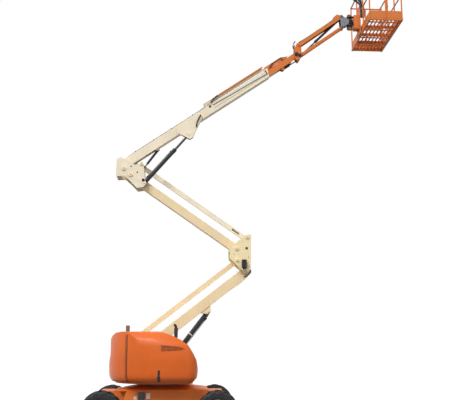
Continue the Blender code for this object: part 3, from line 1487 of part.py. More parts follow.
frame_parts.append(
    box(basket_front - 0.026, basket_front + 0.026, gate_low_y, gate_axis_y + 0.026, hinge_lug_z - 0.02,
        hinge_lug_z + 0.02)
)
hinge_bore = bar(
    (basket_front, gate_axis_y, hinge_lug_z - 0.03), (basket_front, gate_axis_y, hinge_lug_z + 0.03),
    tube + PIN_FIT, 12
)
node("basket_frame", "orange", rotate_empty, frame_parts, [hinge_bore])

grating_margin = 0.024
cell_rows = 8
cell_columns = 8
grate_x = (basket_rear + grating_margin, basket_front - grating_margin)
grate_y = (-half_basket + grating_margin, half_basket - grating_margin)
grate_low = floor_z - 0.028 + SEAT
cells = []
pitch_x = (grate_x[1] - grate_x[0] - 0.02) / cell_columns
pitch_y = (grate_y[1] - grate_y[0] - 0.02) / cell_rows
for row in range(cell_rows):
    for column in range(cell_columns):
        x = grate_x[0] + 0.02 + column * pitch_x
        y = grate_y[0] + 0.02 + row * pitch_y
        cells.append(box(x, x + pitch_x - 0.02, y, y + pitch_y - 0.02, grate_low - 0.01, floor_z + 0.01))
node(
    "basket_floor",
    "galvanised",
    rotate_empty,
    [box(grate_x[0], grate_x[1], grate_y[0], grate_y[1], grate_low, floor_z)],
    cells,
    smooth=False,
)

gate_empty = pivot("gate_pivot", rotate_empty, basket_front, gate_axis_y, mid_z)
node(
    "basket_gate",
    "orange",
    gate_empty,
    [
        rail([(0, 0, -gate_rise + 0.16), (0, 0, gate_rise), (0, gate_span, gate_rise),
              (0, gate_span, -gate_rise + 0.16)]),
        bar((0, 0, 0), (0, gate_span, 0), tube * 0.9, 8),
        box(-0.004, 0.004, 0.032, gate_span + 0.005, -gate_rise + 0.02, -gate_rise + 0.145),
        box(-0.004, 0.004, 0.005, gate_span - 0.005, -gate_rise + 0.175, -gate_rise + 0.215),
        bar((0, 0.05, -gate_rise + 0.13), (0, 0.05, -gate_rise + 0.20), 0.010, 8),
        bar((0, gate_span - 0.05, -gate_rise + 0.13), (0, gate_span - 0.05, -gate_rise + 0.20), 0.010, 8),
    ],
)

console_z = rail_z + tube * math.cos(math.pi / 8) + SEAT
node(
    "control_console",
    "black_paint",
    rotate_empty,
    [
        plate_y(
            [(basket_rear - 0.07, console_z), (basket_rear + 0.20, console_z),
             (basket_rear + 0.20, console_z + 0.06), (basket_rear - 0.05, console_z + 0.18)],
            -0.30, 0.30,
        ),
        box(basket_rear - 0.05, basket_rear - 0.02, -0.36, 0.36, console_z, console_z + 0.14),
        bar((basket_rear + 0.08, -0.18, console_z + 0.09), (basket_rear + 0.10, -0.18, console_z + 0.20), 0.014, 8),
        bar((basket_rear + 0.08, 0.18, console_z + 0.09), (basket_rear + 0.10, 0.18, console_z + 0.20), 0.014, 8),
    ],
)

# Exhaust post in the hood's seam and the bent tube beside the risers
post_y = -(CHEEK_Y + CHEEK_THICKNESS / 2 + HOOD_INNER_Y) / 2
node(
    "exhaust",
    "exhaust_brown",
    turret,
    [bent_tube([(hood_seam_x, post_y, plate_high + SEAT), (hood_seam_x, post_y, 2.12),
                (hood_seam_x - 0.05, post_y, 2.17)], 0.026, 10)],
)
node(
    "riser_guard",
    "black_paint",
    turret,
    [bent_tube([(0.29, post_y, plate_high + SEAT), (0.29, post_y, 2.12), (0.27, post_y, 2.17),
                (0.21, post_y, 2.19)], 0.016, 8)],
)

# The machine stands with its middle on the origin
bpy.context.view_layer.update()
corners = []
for item in bpy.data.objects:
    if item.type == "MESH":
        corners += [item.matrix_world @ vertex.co for vertex in item.data.vertices]
low_x = min(corner.x for corner in corners)
high_x = max(corner.x for corner in corners)
low_z = min(corner.z for corner in corners)
machine.location = (-(low_x + high_x) / 2, 0, -low_z)
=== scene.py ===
"""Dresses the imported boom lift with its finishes, fasteners, hoses and fittings, in a plain studio."""

from __future__ import annotations

import json
import logging
import math
from collections.abc import Iterable, Sequence
from dataclasses import dataclass
from enum import Enum

import bmesh
import bpy
from mathutils import Matrix, Vector

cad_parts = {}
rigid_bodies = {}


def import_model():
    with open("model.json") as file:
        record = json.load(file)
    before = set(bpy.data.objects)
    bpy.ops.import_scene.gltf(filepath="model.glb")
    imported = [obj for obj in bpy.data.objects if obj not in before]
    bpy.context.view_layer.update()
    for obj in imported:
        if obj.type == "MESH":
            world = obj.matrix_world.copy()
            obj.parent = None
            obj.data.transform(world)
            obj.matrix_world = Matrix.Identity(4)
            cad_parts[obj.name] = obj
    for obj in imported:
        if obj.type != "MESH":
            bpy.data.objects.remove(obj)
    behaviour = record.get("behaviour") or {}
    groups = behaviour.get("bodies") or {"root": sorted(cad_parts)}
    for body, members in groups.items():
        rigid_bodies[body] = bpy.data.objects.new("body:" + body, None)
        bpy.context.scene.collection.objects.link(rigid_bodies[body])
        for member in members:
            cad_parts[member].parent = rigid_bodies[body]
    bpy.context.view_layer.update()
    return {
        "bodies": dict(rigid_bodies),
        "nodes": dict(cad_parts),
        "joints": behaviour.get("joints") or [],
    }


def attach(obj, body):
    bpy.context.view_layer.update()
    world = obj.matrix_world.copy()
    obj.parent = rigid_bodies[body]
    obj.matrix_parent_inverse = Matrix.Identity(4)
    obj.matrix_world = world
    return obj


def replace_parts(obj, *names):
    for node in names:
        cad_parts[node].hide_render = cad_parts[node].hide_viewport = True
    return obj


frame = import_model()
LOG = logging.getLogger("boom_lift")

Point = Sequence[float]
Colour = tuple[float, float, float]
BOTH = (-1, 1)
EDGE_ANGLE = 32.0
TRIM_ANGLE = 34.0
CROWNED_ANGLE = 58.0
HOSE_ANGLE = 50.0
MERGE = 0.00001
WHITE = (1.0, 1.0, 1.0, 1.0)


def joint_point(name: str) -> Vector:
    """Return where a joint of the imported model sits, in metres."""
    return Vector(next(item["pos_m"] for item in frame["joints"] if item["name"] == name))


def line_angle(name: str) -> float:
    """Return the angle in degrees above +X of a sliding joint's axis."""
    axis = next(item["axis"] for item in frame["joints"] if item["name"] == name)
    return math.degrees(math.atan2(axis[2], axis[0]))


def body_of(node: str) -> str:
    """Return the name of the body that a CAD node belongs to."""
    return next(name for name, empty in frame["bodies"].items() if empty == frame["nodes"][node].parent)


@dataclass(frozen=True)
class Arm:
    """A straight member with its own axes: along it, across the machine away from the viewer, and up from it."""

    origin: Vector
    angle: float = 0.0

    @property
    def place(self) -> Matrix:
        """Return the matrix from the arm's axes to the machine's."""
        return Matrix.Translation(self.origin) @ Matrix.Rotation(-math.radians(self.angle), 4, "Y")


TURN = Arm(Vector((joint_point("swing").x, 0.0, 0.0)))
MID_UPRIGHT = Arm(joint_point("mid_upright_level"))
UPPER_UPRIGHT = Arm(joint_point("upper_upright_level"))
BOOM = Arm(joint_point("boom_lift"), 34.7)
JIB_BRACKET = Arm(joint_point("jib_bracket_level"))
JIB_UPPER = Arm(joint_point("jib_upper_pivot"), 36.2)
JIB_HEAD = Arm(joint_point("jib_head_level"))
BASKET = Arm(joint_point("platform_rotate"))


# Finishes


class Wire:
    """A shader socket on which Python's operators add Math nodes."""

    def __init__(self, graph: Graph, socket: bpy.types.NodeSocket) -> None:
        """Keep the socket and the graph that it belongs to."""
        self.graph = graph
        self.socket = socket

    def _math(self, operation: str, first: Wire | float, second: Wire | float) -> Wire:
        """Add one Math node and return its result."""
        return self.graph.add("ShaderNodeMath", {"operation": operation}, {0: first, 1: second})

    def __add__(self, other: Wire | float) -> Wire:
        """Return self + other."""
        return self._math("ADD", self, other)

    def __radd__(self, other: float) -> Wire:
        """Return other + self."""
        return self._math("ADD", other, self)

    def __sub__(self, other: Wire | float) -> Wire:
        """Return self - other."""
        return self._math("SUBTRACT", self, other)

    def __rsub__(self, other: float) -> Wire:
        """Return other - self."""
        return self._math("SUBTRACT", other, self)

    def __mul__(self, other: Wire | float) -> Wire:
        """Return self * other."""
        return self._math("MULTIPLY", self, other)

    def __rmul__(self, other: float) -> Wire:
        """Return other * self."""
        return self._math("MULTIPLY", other, self)

    def between(self, low: float, high: float) -> Wire:
        """Return self mapped so that low gives 0 and high gives 1, clamped."""
        inputs = {"Value": self, "From Min": low, "From Max": high}
        return self.graph.add("ShaderNodeMapRange", {"clamp": True}, inputs)


class Graph:
    """A node tree in the making."""

    def __init__(self, tree: bpy.types.NodeTree) -> None:
        """Keep the tree."""
        self.tree = tree

    def add(
        self, kind: str, settings: dict | None = None, inputs: dict | None = None, output: int | str = 0
    ) -> Wire:
        """Add a node and return one of its outputs.

        Args:
            kind: The node's type.
            settings: Properties that are set before the sockets.
            inputs: Values or wires for the sockets, by name or number.
            output: The output to return.

        Returns:
            The wire of that output.
        """
        made = self.tree.nodes.new(kind)
        for name, value in (settings or {}).items():
            setattr(made, name, value)
        for name, value in (inputs or {}).items():
            self.feed(made.inputs[name], value)
        return Wire(self, made.outputs[output])

    def feed(self, socket: bpy.types.NodeSocket, value: Wire | float | Point) -> None:
        """Link a wire to a socket, or set the socket's own value.

        Args:
            socket: The socket.
            value: The wire, number or colour.
        """
        if isinstance(value, Wire):
            self.tree.links.new(value.socket, socket)
        else:
            socket.default_value = value

    def shown(self) -> Wire:
        """Return 1 where a ray comes from the camera, from gloss or through glass, and 0 elsewhere."""
        kinds = ("Camera", "Glossy", "Transmission")
        return sum(self.add("ShaderNodeLightPath", output=f"Is {kind} Ray") for kind in kinds)

    def finish(self, output: str, mask: Wire, low: Wire, high: Wire) -> None:
        """End the tree in a mix of two shaders.

        Args:
            output: The output node's name.
            mask: How much of the second shader shows.
            low: The first shader.
            high: The second shader.
        """
        mix = self.add("ShaderNodeMixShader", {}, {0: mask, 1: low, 2: high})
        self.feed(self.tree.nodes[output].inputs["Surface"], mix)


class Surface(Graph):
    """The node tree of one material, around its Principled shader."""

    def __init__(self, name: str) -> None:
        """Start a material.

        Args:
            name: Its name.
        """
        self.material = bpy.data.materials.new(name)
        self.material.use_nodes = True
        super().__init__(self.material.node_tree)
        self.shader = self.tree.nodes["Principled BSDF"]

    def set(self, name: str, value: Wire | float | Point) -> None:
        """Feed one socket of the Principled shader."""
        self.feed(self.shader.inputs[name], value)

    def axis(self, name: str) -> Wire:
        """Return one of the piece's own coordinates in metres: X, Y or Z."""
        return self.add("ShaderNodeSeparateXYZ", {}, {0: self.add("ShaderNodeTexCoord", output="Object")}, name)

    def noise(self, scale: float, detail: float = 3.0, stretch: Point = (1.0, 1.0, 1.0)) -> Wire:
        """Return a noise value between 0 and 1 on the piece's own coordinates.

        Args:
            scale: How fine it is.
            detail: How many finer layers it has.
            stretch: A scale for each axis.

        Returns:
            The noise.
        """
        place = self.add("ShaderNodeTexCoord", output="Object")
        place = self.add("ShaderNodeMapping", {}, {"Vector": place, "Scale": stretch})
        inputs = {"Vector": place, "Scale": scale, "Detail": detail, "Roughness": 0.55}
        return self.add("ShaderNodeTexNoise", {}, inputs)

    def blend(self, mask: Wire, low: Wire | Colour, high: Wire | Colour) -> Wire:
        """Return a colour that goes from low to high as the mask goes from 0 to 1.

        Args:
            mask: The mask.
            low: The colour at 0.
            high: The colour at 1.

        Returns:
            The blended colour.
        """
        made = self.tree.nodes.new("ShaderNodeMix")
        made.data_type = "RGBA"
        sockets = {item.identifier: item for item in made.inputs}
        self.feed(sockets["Factor_Float"], mask)
        for name, colour in (("A_Color", low), ("B_Color", high)):
            self.feed(sockets[name], colour if isinstance(colour, Wire) else (*colour, 1.0))
        return Wire(self, next(item for item in made.outputs if item.identifier == "Result_Color"))

    def bump(self, height: Wire, distance: float, strength: float = 1.0) -> None:
        """Give the shader a bump, from a height between 0 and 1 that stands for a distance in metres."""
        inputs = {"Height": height, "Distance": distance, "Strength": strength}
        self.set("Normal", self.add("ShaderNodeBump", {}, inputs))


def tinted(colour: Colour, factor: float) -> Colour:
    """Return a colour that is lighter or darker by a factor."""
    return tuple(channel * factor for channel in colour)


@dataclass(frozen=True)
class Enamel:
    """Sprayed enamel with faint mottling, run-off streaks, road dust and orange peel."""

    name: str
    colour: Colour
    roughness: float
    coat: float = 0.0
    dust_top: float = 0.9
    dust: float = 0.35
    dust_colour: Colour = (0.42, 0.36, 0.29)

    def build(self) -> bpy.types.Material:
        """Make the material.

        Returns:
            The material.
        """
        graph = Surface(self.name)
        mottle = graph.noise(2.3, 4.0).between(0.3, 0.7)
        colour = graph.blend(mottle, tinted(self.colour, 0.94), tinted(self.colour, 1.05))
        streaks = graph.noise(5.0, 3.0, (3.0, 3.0, 0.35)).between(0.52, 0.80)
        colour = graph.blend(streaks * 0.16, colour, tinted(self.colour, 0.62))
        low = 1.0 - graph.axis("Z").between(0.15, self.dust_top)
        specks = graph.noise(26.0, 5.0).between(0.35, 0.75)
        dust = low * (0.35 + specks * 0.65) * self.dust
        graph.set("Base Color", graph.blend(dust, colour, self.dust_colour))
        graph.set("Roughness", self.roughness + mottle * 0.07 + dust * 0.45)
        graph.set("Coat Weight", self.coat * (1.0 - dust))
        graph.set("Coat Roughness", 0.12)
        graph.set("Specular IOR Level", 0.24)
        graph.bump(graph.noise(420.0, 2.0), 0.0002, 0.35)
        return graph.material


@dataclass(frozen=True)
class TyreRubber:
    """Black rubber with random grey dusty patches, tread and sidewalls alike, and a fine grain."""

    name: str
    colour: Colour = (0.016, 0.016, 0.018)
    dust_colour: Colour = (0.075, 0.070, 0.066)

    def build(self) -> bpy.types.Material:
        """Make the material.

        Returns:
            The material.
        """
        graph = Surface(self.name)
        patches = graph.noise(9.0, 5.0).between(0.40, 0.72)
        fine = graph.noise(160.0, 3.0).between(0.3, 0.8)
        graph.set("Base Color", graph.blend(patches * 0.35, self.colour, self.dust_colour))
        graph.set("Roughness", 0.62 + patches * 0.2)
        graph.set("Specular IOR Level", 0.35)
        graph.bump(fine, 0.0008, 0.5)
        return graph.material


@dataclass(frozen=True)
class Metal:
    """Bare or plated metal with cloudy patches, rust where it is stained, and a fine grain."""

    name: str
    colour: Colour
    roughness: float
    metallic: float = 1.0
    patch_scale: float = 14.0
    patch_depth: float = 0.15
    grain: float = 90.0
    grain_depth: float = 0.0003
    stain: Colour = (0.20, 0.13, 0.08)
    stained: float = 0.0

    def build(self) -> bpy.types.Material:
        """Make the material.

        Returns:
            The material.
        """
        graph = Surface(self.name)
        patches = graph.noise(self.patch_scale, 4.0).between(0.35, 0.7)
        shades = [tinted(self.colour, 1.0 + sign * self.patch_depth) for sign in BOTH]
        colour = graph.blend(patches, *shades)
        metallic = self.metallic
        if self.stained:
            rust = graph.noise(31.0, 6.0).between(0.55, 0.75) * self.stained
            colour = graph.blend(rust, colour, self.stain)
            metallic = metallic * (1.0 - rust * 0.8)
        graph.set("Metallic", metallic)
        graph.set("Base Color", colour)
        graph.set("Roughness", self.roughness + patches * 0.12)
        graph.bump(graph.noise(self.grain, 3.0), self.grain_depth, 0.6)
        return graph.material


@dataclass(frozen=True)
class Plastic:
    """Moulded plastic or hose rubber with a fine leather-like grain."""

    name: str
    colour: Colour
    roughness: float

    def build(self) -> bpy.types.Material:
        """Make the material.

        Returns:
            The material.
        """
        graph = Surface(self.name)
        wear = graph.noise(18.0, 3.0).between(0.4, 0.75)
        graph.set("Base Color", graph.blend(wear, self.colour, tinted(self.colour, 1.5)))
        graph.set("Roughness", self.roughness + wear * 0.12)
        graph.bump(graph.noise(600.0, 2.0), 0.0002, 0.5)
        return graph.material


class Coat(Enum):
    """The finishes of this machine."""

    HOOD_ORANGE = Enamel("hood_orange", (0.690, 0.124, 0.012), 0.36, 0.12)
    FRAME_ORANGE = Enamel("frame_orange", (0.760, 0.165, 0.018), 0.42)
    ARM_ORANGE = Enamel("arm_orange", (0.700, 0.195, 0.042), 0.42)
    BOOM_CREAM = Enamel("boom_cream", (0.905, 0.790, 0.600), 0.42)
    UPRIGHT_CREAM = Enamel("upright_cream", (0.940, 0.785, 0.470), 0.42)
    RISER_TAN = Enamel("riser_tan", (0.890, 0.705, 0.430), 0.44)
    TRAY = Enamel("tray_buff", (0.780, 0.620, 0.430), 0.45)
    RIM_WHITE = Enamel("rim_white", (0.690, 0.675, 0.620), 0.46, 0.05, 1.1, 0.30)
    BLACK_PAINT = Enamel("black_paint", (0.022, 0.022, 0.024), 0.38, 0.10, 0.9, 0.25)
    GREY_PAINT = Enamel("grey_paint", (0.340, 0.345, 0.350), 0.42, 0.08)
    PALE_GREY = Enamel("pale_grey", (0.780, 0.760, 0.720), 0.40)
    TYRE = TyreRubber("tyre_rubber")
    CAST = Metal("cast_iron", (0.115, 0.115, 0.120), 0.58, 0.45, 20.0, 0.2, 140.0, 0.0008, stained=0.15)
    STEEL = Metal("oiled_steel", (0.105, 0.105, 0.112), 0.42, 0.75, 17.0, 0.2, stained=0.10)
    BOLT = Metal("zinc_bolt", (0.46, 0.45, 0.42), 0.36, 1.0, 40.0, 0.1)
    ROD = Metal("blackened_rod", (0.040, 0.038, 0.040), 0.30, 0.55, 9.0, 0.10, 60.0, 0.0001)
    GALVANISED = Metal("galvanised", (0.66, 0.62, 0.55), 0.48, 0.35, 38.0, 0.10, 60.0, 0.0002)
    EXHAUST = Metal("heat_stained", (0.190, 0.150, 0.118), 0.55, 0.6, 16.0, 0.25, stained=0.4)
    DISC = Metal("motor_grey", (0.21, 0.22, 0.25), 0.45, 0.4, 18.0, 0.1)
    HOSE = Plastic("hose_rubber", (0.016, 0.016, 0.018), 0.48)
    PANEL = Plastic("panel_plastic", (0.030, 0.030, 0.033), 0.45)
    RED_KNOB = Plastic("red_knob", (0.55, 0.020, 0.015), 0.35)
    # Painted shade: a darkened orange for the shade in the hoods' seam, hand-holds and between the louvre blades.
    HOLLOW = Plastic("shadowed_orange", (0.300, 0.062, 0.011), 0.70)
    OLIVE = Plastic("olive_edge", (0.150, 0.130, 0.070), 0.6)
    # Painted shade: a near-black brown for the deepest shade, in the hoods' seam and along the fly boom's upper strip.
    SEAL = Plastic("seam_seal", (0.085, 0.024, 0.008), 0.65)
    PALE_PLATE = Plastic("pale_plate", (0.62, 0.60, 0.55), 0.40)

    @property
    def material(self) -> bpy.types.Material:
        """Return the finish's one material, made when it is first asked for."""
        return bpy.data.materials.get(self.value.name) or self.value.build()


NODE_FINISH: dict[Coat, tuple[str, ...]] = {
    Coat.HOOD_ORANGE: ("hood_near", "hood_far", "tail_casting"),
    Coat.FRAME_ORANGE: ("chassis_frame", "turret_frame"),
    Coat.ARM_ORANGE: (
        "fly_boom", "push_tube", "jib_bracket", "jib_lower_arm", "jib_upper_arm", "platform_support",
        "basket_frame", "basket_gate", "basket_floor",
    ),
    Coat.BOOM_CREAM: ("base_boom", "upper_upright", "upper_link"),
    Coat.UPRIGHT_CREAM: ("mid_upright",),
    Coat.RISER_TAN: ("lower_riser", "upper_riser", "lower_link"),
    Coat.RIM_WHITE: ("rim_near_rear", "rim_far_rear", "rim_near_front", "rim_far_front"),
    Coat.TYRE: ("tyre_near_rear", "tyre_far_rear", "tyre_near_front", "tyre_far_front"),
    Coat.BLACK_PAINT: (
        "steer_axle", "drive_axle", "hydraulic_tank", "riser_cylinder_barrel", "boom_cylinder_barrel",
        "level_cylinder_barrel", "slave_cylinder_barrel", "jib_cylinder_barrel", "riser_guard",
    ),
    Coat.PANEL: ("control_console",),
    Coat.CAST: ("counterweight",),
    Coat.STEEL: ("knuckle_near", "knuckle_far", "tie_rod", "propshaft", "slew_ring", "engine_block"),
    Coat.GREY_PAINT: ("jib_head",),
    Coat.ROD: (
        "riser_cylinder_rod", "boom_cylinder_rod", "level_cylinder_rod", "slave_cylinder_rod",
        "jib_cylinder_rod",
    ),
    Coat.TRAY: ("cable_tray",),
    Coat.EXHAUST: ("exhaust",),
}


def finish_of(node: str) -> Coat:
    """Return the finish of a CAD node."""
    return next(coat for coat, nodes in NODE_FINISH.items() if node in nodes)


def paint_nodes() -> None:
    """Give every CAD node its material."""
    for node, item in frame["nodes"].items():
        item.data.materials.clear()
        item.data.materials.append(finish_of(node).material)


# Pieces


def drawn(name: str, shape: bmesh.types.BMesh) -> bpy.types.Mesh:
    """Turn a bmesh into a mesh.

    Args:
        name: The mesh's name.
        shape: The bmesh, which is freed.

    Returns:
        The mesh.
    """
    mesh = bpy.data.meshes.new(name)
    shape.to_mesh(mesh)
    shape.free()
    return mesh


def stood(name: str, mesh: bpy.types.Mesh, angle: float = EDGE_ANGLE) -> bpy.types.Object:
    """Add a mesh to the scene, smooth except across edges sharper than an angle.

    Args:
        name: The object's name.
        mesh: The mesh.
        angle: The angle in degrees.

    Returns:
        The object.
    """
    mesh.shade_smooth()
    mesh.set_sharp_from_angle(angle=math.radians(angle))
    item = bpy.data.objects.new(name, mesh)
    bpy.context.scene.collection.objects.link(item)
    return item


def rounded(item: bpy.types.Object, width: float, angle: float, clamp: bool) -> None:
    """Round a piece's edges.

    Args:
        item: The piece.
        width: The width of the rounding, in metres.
        angle: The flattest edge that is rounded, in degrees.
        clamp: Whether the rounding stops where it would meet another.
    """
    rounding = item.modifiers.new("edges", "BEVEL")
    rounding.width = width
    rounding.segments = 2
    rounding.limit_method = "ANGLE"
    rounding.angle_limit = math.radians(angle)
    rounding.use_clamp_overlap = clamp
    rounding.harden_normals = True


def settle(item: bpy.types.Object, coat: Coat, slot: str, bevel: float = 0.0) -> bpy.types.Object:
    """Finish a piece and put it on its body.

    Args:
        item: The piece.
        coat: Its finish.
        slot: The node that carries it.
        bevel: Width of the rounding of its edges, in metres.

    Returns:
        The piece.
    """
    item.data.materials.clear()
    item.data.materials.append(coat.material)
    if bevel:
        rounded(item, bevel, TRIM_ANGLE, True)
    body = body_of(slot)
    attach(item, body)
    LOG.info("%s rides on %s", item.name, body)
    return item


class Work:
    """One piece in the making, built up from bmesh operators. Each shape returns the work, for the next one."""

    def __init__(self, arm: Arm | None = None, turn: Matrix | None = None) -> None:
        """Start an empty piece, in a member's axes and turned within them if need be."""
        self.shape = bmesh.new()
        self.place = (arm.place if arm else Matrix()) @ (turn or Matrix())

    def _put(self, vertices: Iterable[bmesh.types.BMVert], matrix: Matrix) -> Work:
        """Move new vertices to their place."""
        bmesh.ops.transform(self.shape, matrix=self.place @ matrix, verts=list(vertices))
        return self

    def block(self, low: Point, high: Point) -> Work:
        """Add a block.

        Args:
            low: One corner.
            high: The opposite corner.

        Returns:
            The work.
        """
        made = bmesh.ops.create_cube(self.shape, size=1.0)["verts"]
        size = [abs(last - first) for first, last in zip(low, high)]
        middle = [(last + first) / 2 for first, last in zip(low, high)]
        return self._put(made, Matrix.Translation(middle) @ Matrix.Diagonal((*size, 1.0)))

    def rod(
        self, start: Point, end: Point, radius: float, segments: int = 16, end_radius: float | None = None
    ) -> Work:
        """Add a round bar, or a cone.

        Args:
            start: The middle of one end.
            end: The middle of the other end.
            radius: The radius at the start.
            segments: How many sides it has.
            end_radius: The radius at the end, if it differs.

        Returns:
            The work.
        """
        first, last = Vector(start), Vector(end)
        run = last - first
        made = bmesh.ops.create_cone(
            self.shape, cap_ends=True, segments=segments, radius1=radius,
            radius2=radius if end_radius is None else end_radius, depth=run.length,
        )["verts"]
        turn = run.to_track_quat("Z", "Y").to_matrix().to_4x4()
        return self._put(made, Matrix.Translation((first + last) / 2) @ turn)

    def bolt(self, centre: Point, outward: Point, size: float, washer: float = 0.0) -> Work:
        """Add a six-sided bolt head, on a washer if that has a radius.

        Args:
            centre: Where it meets the surface.
            outward: The direction that the head faces.
            size: The head's radius.
            washer: The washer's radius, or 0 for none.

        Returns:
            The work.
        """
        foot = Vector(centre)
        out = Vector(outward).normalized()
        sunk = out * 0.001
        if washer:
            self.rod(foot - sunk, foot + out * size * 0.22, washer, 18)
            foot = foot + out * size * 0.22
        return self.rod(foot - sunk, foot + out * size * 0.75, size, 6, size * 0.96)

    def caps(
        self, pins: Sequence[Point], inner: float, outer: float, segments: int = 22, sides: Sequence[int] = BOTH
    ) -> Work:
        """Add a round cap with a bolt head for each pin, on each side of the member.

        Args:
            pins: Each pin as (along, up, the cap's radius, the head's radius).
            inner: How far from the centre plane the caps start.
            outer: How far from it they end.
            segments: How many sides a cap has.
            sides: The sides that are capped.

        Returns:
            The work.
        """
        for along, up, radius, head in pins:
            for side in sides:
                end = (along, side * outer, up)
                self.rod((along, side * inner, up), end, radius, segments).bolt(end, (0, side, 0), head)
        return self

    def band(self, first: Sequence[Point], second: Sequence[Point], depth: float) -> Work:
        """Add a strip between two lines of points, given a thickness.

        Args:
            first: The points of one edge.
            second: The points of the other edge, as many.
            depth: The thickness.

        Returns:
            The work.
        """
        rows = [[self.shape.verts.new(self.place @ Vector(point)) for point in row] for row in (first, second)]
        pairs = list(zip(*rows))
        faces = [self.shape.faces.new((*start, *reversed(end))) for start, end in zip(pairs, pairs[1:])]
        bmesh.ops.recalc_face_normals(self.shape, faces=faces)
        bmesh.ops.solidify(self.shape, geom=faces, thickness=depth)
        return self

    def sheet(self, outline: Sequence[Point], thickness: Point) -> Work:
        """Add a flat plate: an outline drawn as one face, then extruded.

        Args:
            outline: Its corners, in order.
            thickness: The vector that it is extruded by.

        Returns:
            The work.
        """
        corners = [self.shape.verts.new(point) for point in outline]
        face = self.shape.faces.new(corners)
        grown = bmesh.ops.extrude_face_region(self.shape, geom=[face])["geom"]
        raised = [item for item in grown if isinstance(item, bmesh.types.BMVert)]
        bmesh.ops.translate(self.shape, vec=thickness, verts=raised)
        return self._put(corners + raised, Matrix())

    def plate(self, outline: Sequence[Point], face: float, depth: float) -> Work:
        """Add a plate that stands along the member: an outline of (along, up), at a face, with a depth across."""
        return self.sheet([(along, face, up) for along, up in outline], (0.0, depth, 0.0))

    def turned(
        self, profile: Sequence[Point], centre: Point, axis: Point = (0, 1, 0), segments: int = 32
    ) -> Work:
        """Add a closed profile turned about an axis.

        Args:
            profile: Points of (radius, distance along the axis), in order.
            centre: The axis's origin.
            axis: The axis's direction.
            segments: How many steps the turn has.

        Returns:
            The work.
        """
        points = [self.shape.verts.new((radius, 0.0, along)) for radius, along in profile]
        edges = [self.shape.edges.new(pair) for pair in zip(points, points[1:] + points[:1])]
        before = set(self.shape.verts) - set(points)
        bmesh.ops.spin(
            self.shape, geom=points + edges, cent=(0, 0, 0), axis=(0, 0, 1), angle=2 * math.pi,
            steps=segments, use_merge=True,
        )
        made = [vertex for vertex in self.shape.verts if vertex not in before]
        bmesh.ops.remove_doubles(self.shape, verts=made, dist=MERGE)
        made = [vertex for vertex in self.shape.verts if vertex not in before]
        turn = Vector(axis).to_track_quat("Z", "Y").to_matrix().to_4x4()
        return self._put(made, Matrix.Translation(centre) @ turn)

    def ring(self, radii: Point, span: Point, centre: Point, axis: Point, segments: int) -> Work:
        """Add a square-edged ring.

        Args:
            radii: Its inner and outer radius.
            span: Where it starts and ends along the axis.
            centre: The axis's origin.
            axis: The axis's direction.
            segments: How many steps the turn has.

        Returns:
            The work.
        """
        (inner, outer), (start, end) = radii, span
        return self.turned([(inner, start), (outer, start), (outer, end), (inner, end)], centre, axis, segments)

    def crown(self) -> Work:
        """Draw the piece in as the turret's mouldings are."""
        CROWN.shape(self.shape)
        return self

    def done(self, name: str, coat: Coat, slot: str, bevel: float = 0.0) -> bpy.types.Object:
        """Turn the work into a piece of the machine.

        Args:
            name: The piece's name.
            coat: Its finish.
            slot: The node that carries it.
            bevel: Width of the rounding of its edges.

        Returns:
            The piece.
        """
        bmesh.ops.recalc_face_normals(self.shape, faces=self.shape.faces)
        return settle(stood(name, drawn(name, self.shape)), coat, slot, bevel)


@dataclass(frozen=True)
class Crown:
    """How the turret's mouldings swell towards their middle height and roll in at the foot."""

    nodes: tuple[str, ...] = ("hood_near", "hood_far", "tail_casting", "counterweight")
    tail: tuple[str, ...] = ("tail_casting", "counterweight")
    waist: float = 1.40
    foot: float = 0.995
    lean: float = 0.012
    roll: float = 0.066
    tail_foot: float = 1.30
    tail_rise: float = 0.32
    tail_lean: float = 0.042
    levels: tuple[float, ...] = (1.0, 1.012, 1.025, 1.04, 1.06, 1.085, 1.12, 1.17, 1.24, 1.32, 1.40)
    tail_levels: tuple[float, ...] = (1.45, 1.50, 1.54, 1.58)
    rim_radius: float = 0.72
    rim_scale: float = 0.89

    def scale(self, height: float) -> float:
        """Return how much of its distance from the swing axis a point keeps at a height."""
        drop = min(1.0, max(0.0, (self.waist - height) / (self.waist - self.foot)))
        return 1.0 - self.lean * drop - self.roll * drop**7

    def shape(self, mesh: bmesh.types.BMesh, tail: bool = False) -> None:
        """Cut a mesh at the crown's levels and draw its points in.

        Args:
            mesh: The mesh.
            tail: Whether it belongs to the tail, which also leans forward above the waist.
        """
        for level in self.levels + (self.tail_levels if tail else ()):
            every = list(mesh.verts) + list(mesh.edges) + list(mesh.faces)
            bmesh.ops.bisect_plane(mesh, geom=every, dist=MERGE, plane_co=(0, 0, level), plane_no=(0, 0, 1))
        for vertex in mesh.verts:
            factor = self.scale(vertex.co.z)
            rise = max(0.0, vertex.co.z - self.tail_foot) / self.tail_rise if tail else 0.0
            lean = 1.0 - self.tail_lean * rise**2
            vertex.co.x = TURN.origin.x + (vertex.co.x - TURN.origin.x) * factor * lean
            vertex.co.y *= factor

    def rim(self, mesh: bmesh.types.BMesh) -> None:
        """Draw the rim of the turret's plate in, under the mouldings' foot.

        Args:
            mesh: The turret's mesh.
        """
        middle = Matrix.Translation(-TURN.origin)
        rim = [vertex for vertex in mesh.verts
               if vertex.co.z < self.foot + 0.002 and (middle @ vertex.co).xy.length > self.rim_radius]
        bmesh.ops.scale(mesh, vec=(self.rim_scale, self.rim_scale, 1.0), space=middle, verts=rim)


CROWN = Crown()


